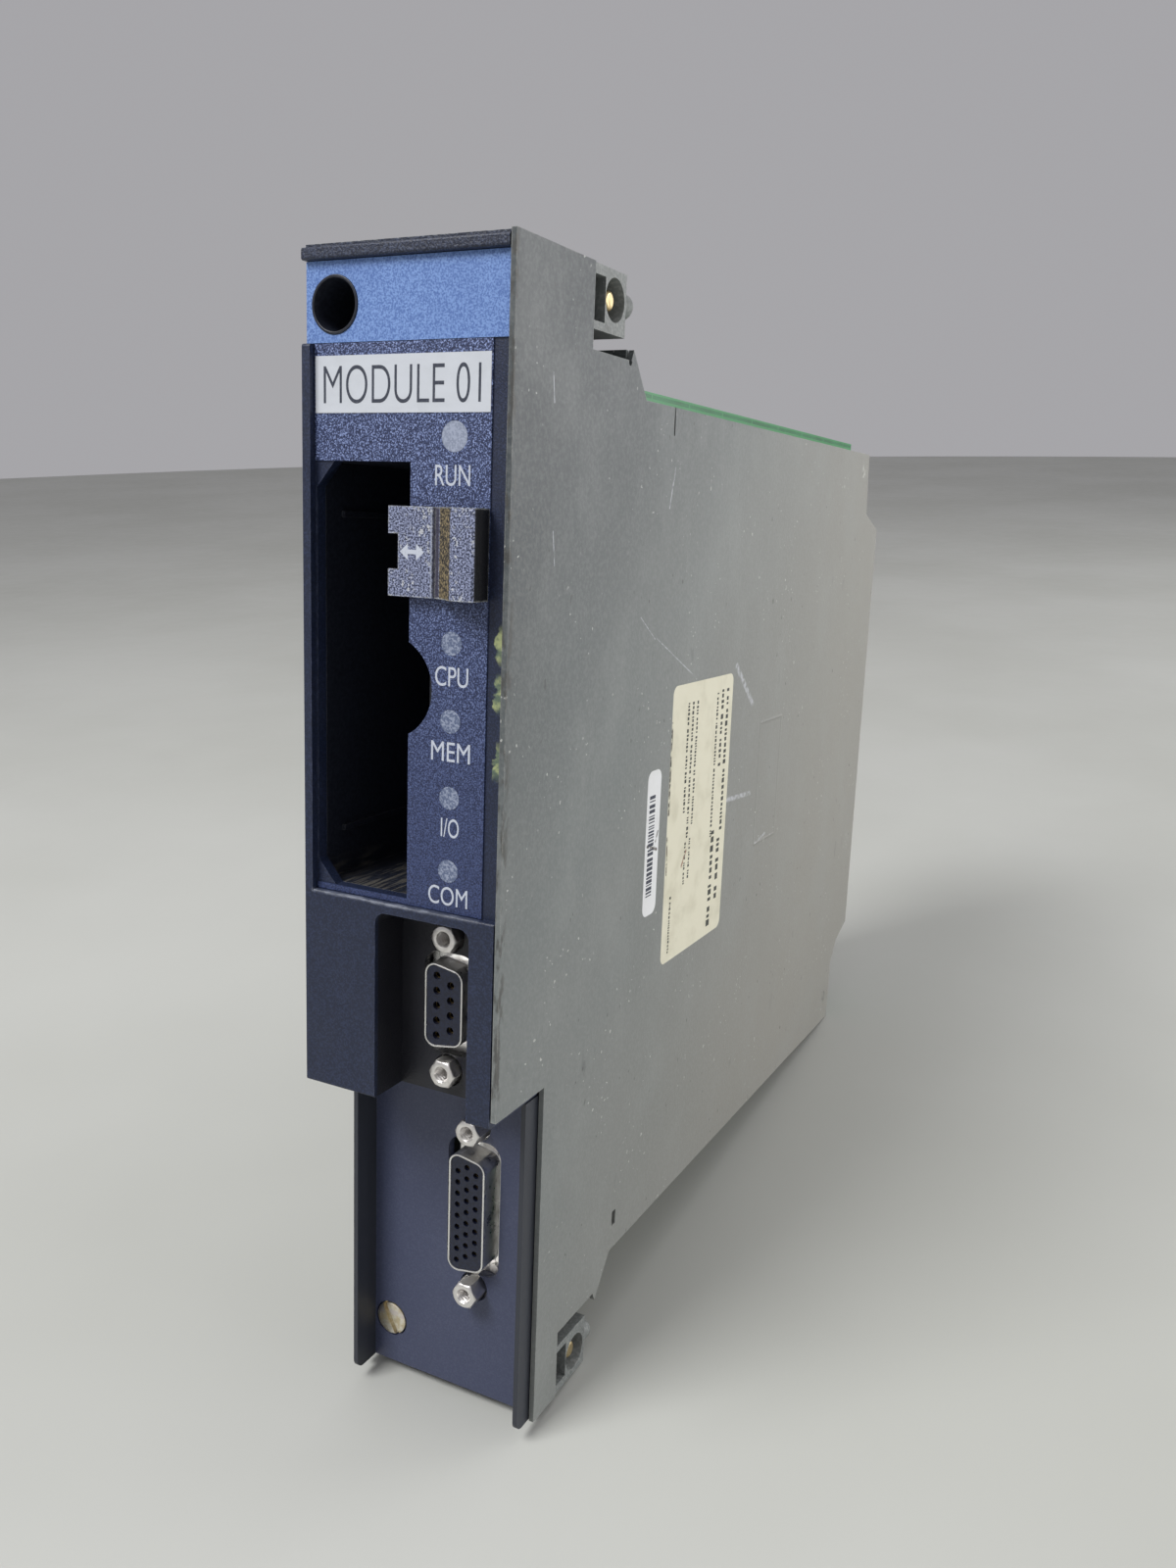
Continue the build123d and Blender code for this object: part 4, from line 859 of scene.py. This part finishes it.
def add_screws():
    """Cheese-head screws with a real thread and a worn slot, in place of the plain ones."""
    for name, tilt in SLOT_TILT.items():
        low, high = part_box(name)
        place = Vector(((low.x + high.x) / 2, low.y, (low.z + high.z) / 2))
        end = (high.y - low.y) / MM
        thread_start = end - THREAD_LONG
        head = [(0.0, HEAD_R - 0.75), (0.06, HEAD_R - 0.4), (0.25, HEAD_R - 0.1), (0.5, HEAD_R),
                (HEAD_T, HEAD_R), (HEAD_T, SHANK_R), (thread_start - 0.6, SHANK_R),
                (thread_start - 0.3, ROOT_R)]
        depths = steps(thread_start, end - 0.7, 96)
        shank = [(depth, thread(depth, SHANK_R, ROOT_R, PITCH)) for depth in depths]
        mesh = ring_mesh(name + "_detail", place, head + shank + [(end, ROOT_R - 0.5)])
        piece = add_piece(name + "_detail", mesh, MATERIALS["screw_zinc"], name)
        slot_low = Vector((-SLOT_REACH * MM, -1 * MM, -SLOT_HALF * MM))
        slot_high = Vector((SLOT_REACH * MM, SLOT_DEPTH * MM, SLOT_HALF * MM))
        cutter = boxes_mesh(name + "_cutter", [(slot_low, slot_high)])
        cutter.transform(Matrix.Translation(place) @ Matrix.Rotation(tilt, 4, "Y"))
        tool = bpy.data.objects.new(name + "_cutter", cutter)
        bpy.context.scene.collection.objects.link(tool)
        cut = piece.modifiers.new("slot", "BOOLEAN")
        cut.operation, cut.solver, cut.object = "DIFFERENCE", "EXACT", tool
        bpy.context.view_layer.update()
        done = bpy.data.meshes.new_from_object(piece.evaluated_get(bpy.context.evaluated_depsgraph_get()))
        piece.modifiers.clear()
        piece.data = done
        bpy.data.objects.remove(tool)
        shade_by_angle(piece, SHARP)
        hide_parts(name)


def shade_by_angle(piece, degrees):
    """Smooth shading with sharp edges kept where faces meet at more than this angle."""
    form = bmesh.new()
    form.from_mesh(piece.data)
    for face in form.faces:
        face.smooth = True
    for edge in form.edges:
        edge.smooth = len(edge.link_faces) == 2 and edge.calc_face_angle(0.0) < radians(degrees)
    form.to_mesh(piece.data)
    form.free()


# legs of the dual-in-line packages, in millimetres
LEG_PITCH, LEG_HALF, LEG_T = 2.54, 0.25, 0.35
BOARD_X = 10.2                          # the board's face, where the legs end


def package_legs(depth, z, pins, out, shoulder):
    """Boxes of the legs down both long sides of one package: out from its middle, and down from shoulder."""
    boxes = []
    for side in (-1, 1):
        low, high = sorted((z + side * out, z + side * out + side * LEG_T))
        for pin in range(pins):
            along = depth + (pin - (pins - 1) / 2) * LEG_PITCH
            boxes.append((mm(shoulder, along - LEG_HALF, low), mm(BOARD_X, along + LEG_HALF, high)))
    return boxes


def add_chip_legs():
    """Tinned legs of the twelve logic packages and the four memory packages."""
    boxes = []
    for column in range(3):
        for row in range(4):
            boxes += package_legs(88.0 + column * 27.0, 38.0 + row * 13.0, pins=8, out=3.55, shoulder=8.0)
    for row in range(4):
        boxes += package_legs(173.5, 62.0 + row * 20.0, pins=14, out=7.15, shoulder=7.8)
    add_piece("chip_legs", boxes_mesh("chip_legs", boxes), MATERIALS["nut_nickel"], "module")


# ---------------------------------------------------------------- floor
def add_floor():
    s = Shade("floor", specular=0.3)
    tone = s.mix(s.step(s.noise(0.25, detail=3), 0.3, 0.7), srgb(184, 185, 179), srgb(192, 193, 188))
    material = s.finish(tone, s.step(s.noise(0.02, detail=3), 0.3, 0.7, 0.5, 0.62))
    form = bmesh.new()
    bmesh.ops.create_circle(form, cap_ends=True, segments=96, radius=FLOOR_REACH)
    mesh = bpy.data.meshes.new("floor")
    form.to_mesh(mesh)
    form.free()
    mesh.materials.append(material)
    floor = bpy.data.objects.new("floor", mesh)
    slope = FLOOR_REAR - FLOOR_FRONT
    floor.matrix_world = Matrix.Translation(FLOOR_FRONT) @ Matrix.Rotation(atan(slope.z / slope.y), 4, "X")
    bpy.context.scene.collection.objects.link(floor)


dress_frame()
round_edges()
add_print()
add_label_print()
add_latch_mark()
add_nuts()
add_screws()
add_chip_legs()
add_floor()
add_camera()
add_world(srgb(206, 205, 209), 0.62)
add_light("key", (-0.35, -0.75, 0.95), (0, 0, 0.1), 0.5, 11.0)
add_light("top", (0.1, 0.1, 1.3), (0, 0, 0.1), 0.9, 2.5)
add_light("rear_right", (1.0, 0.95, 0.45), (0, 0.1, 0.1), 0.8, 9.0)
add_light("right_fill", (1.3, 0.0, 0.25), (0, 0, 0.08), 0.7, 4.0)
bpy.context.scene.view_settings.view_transform = "Standard"
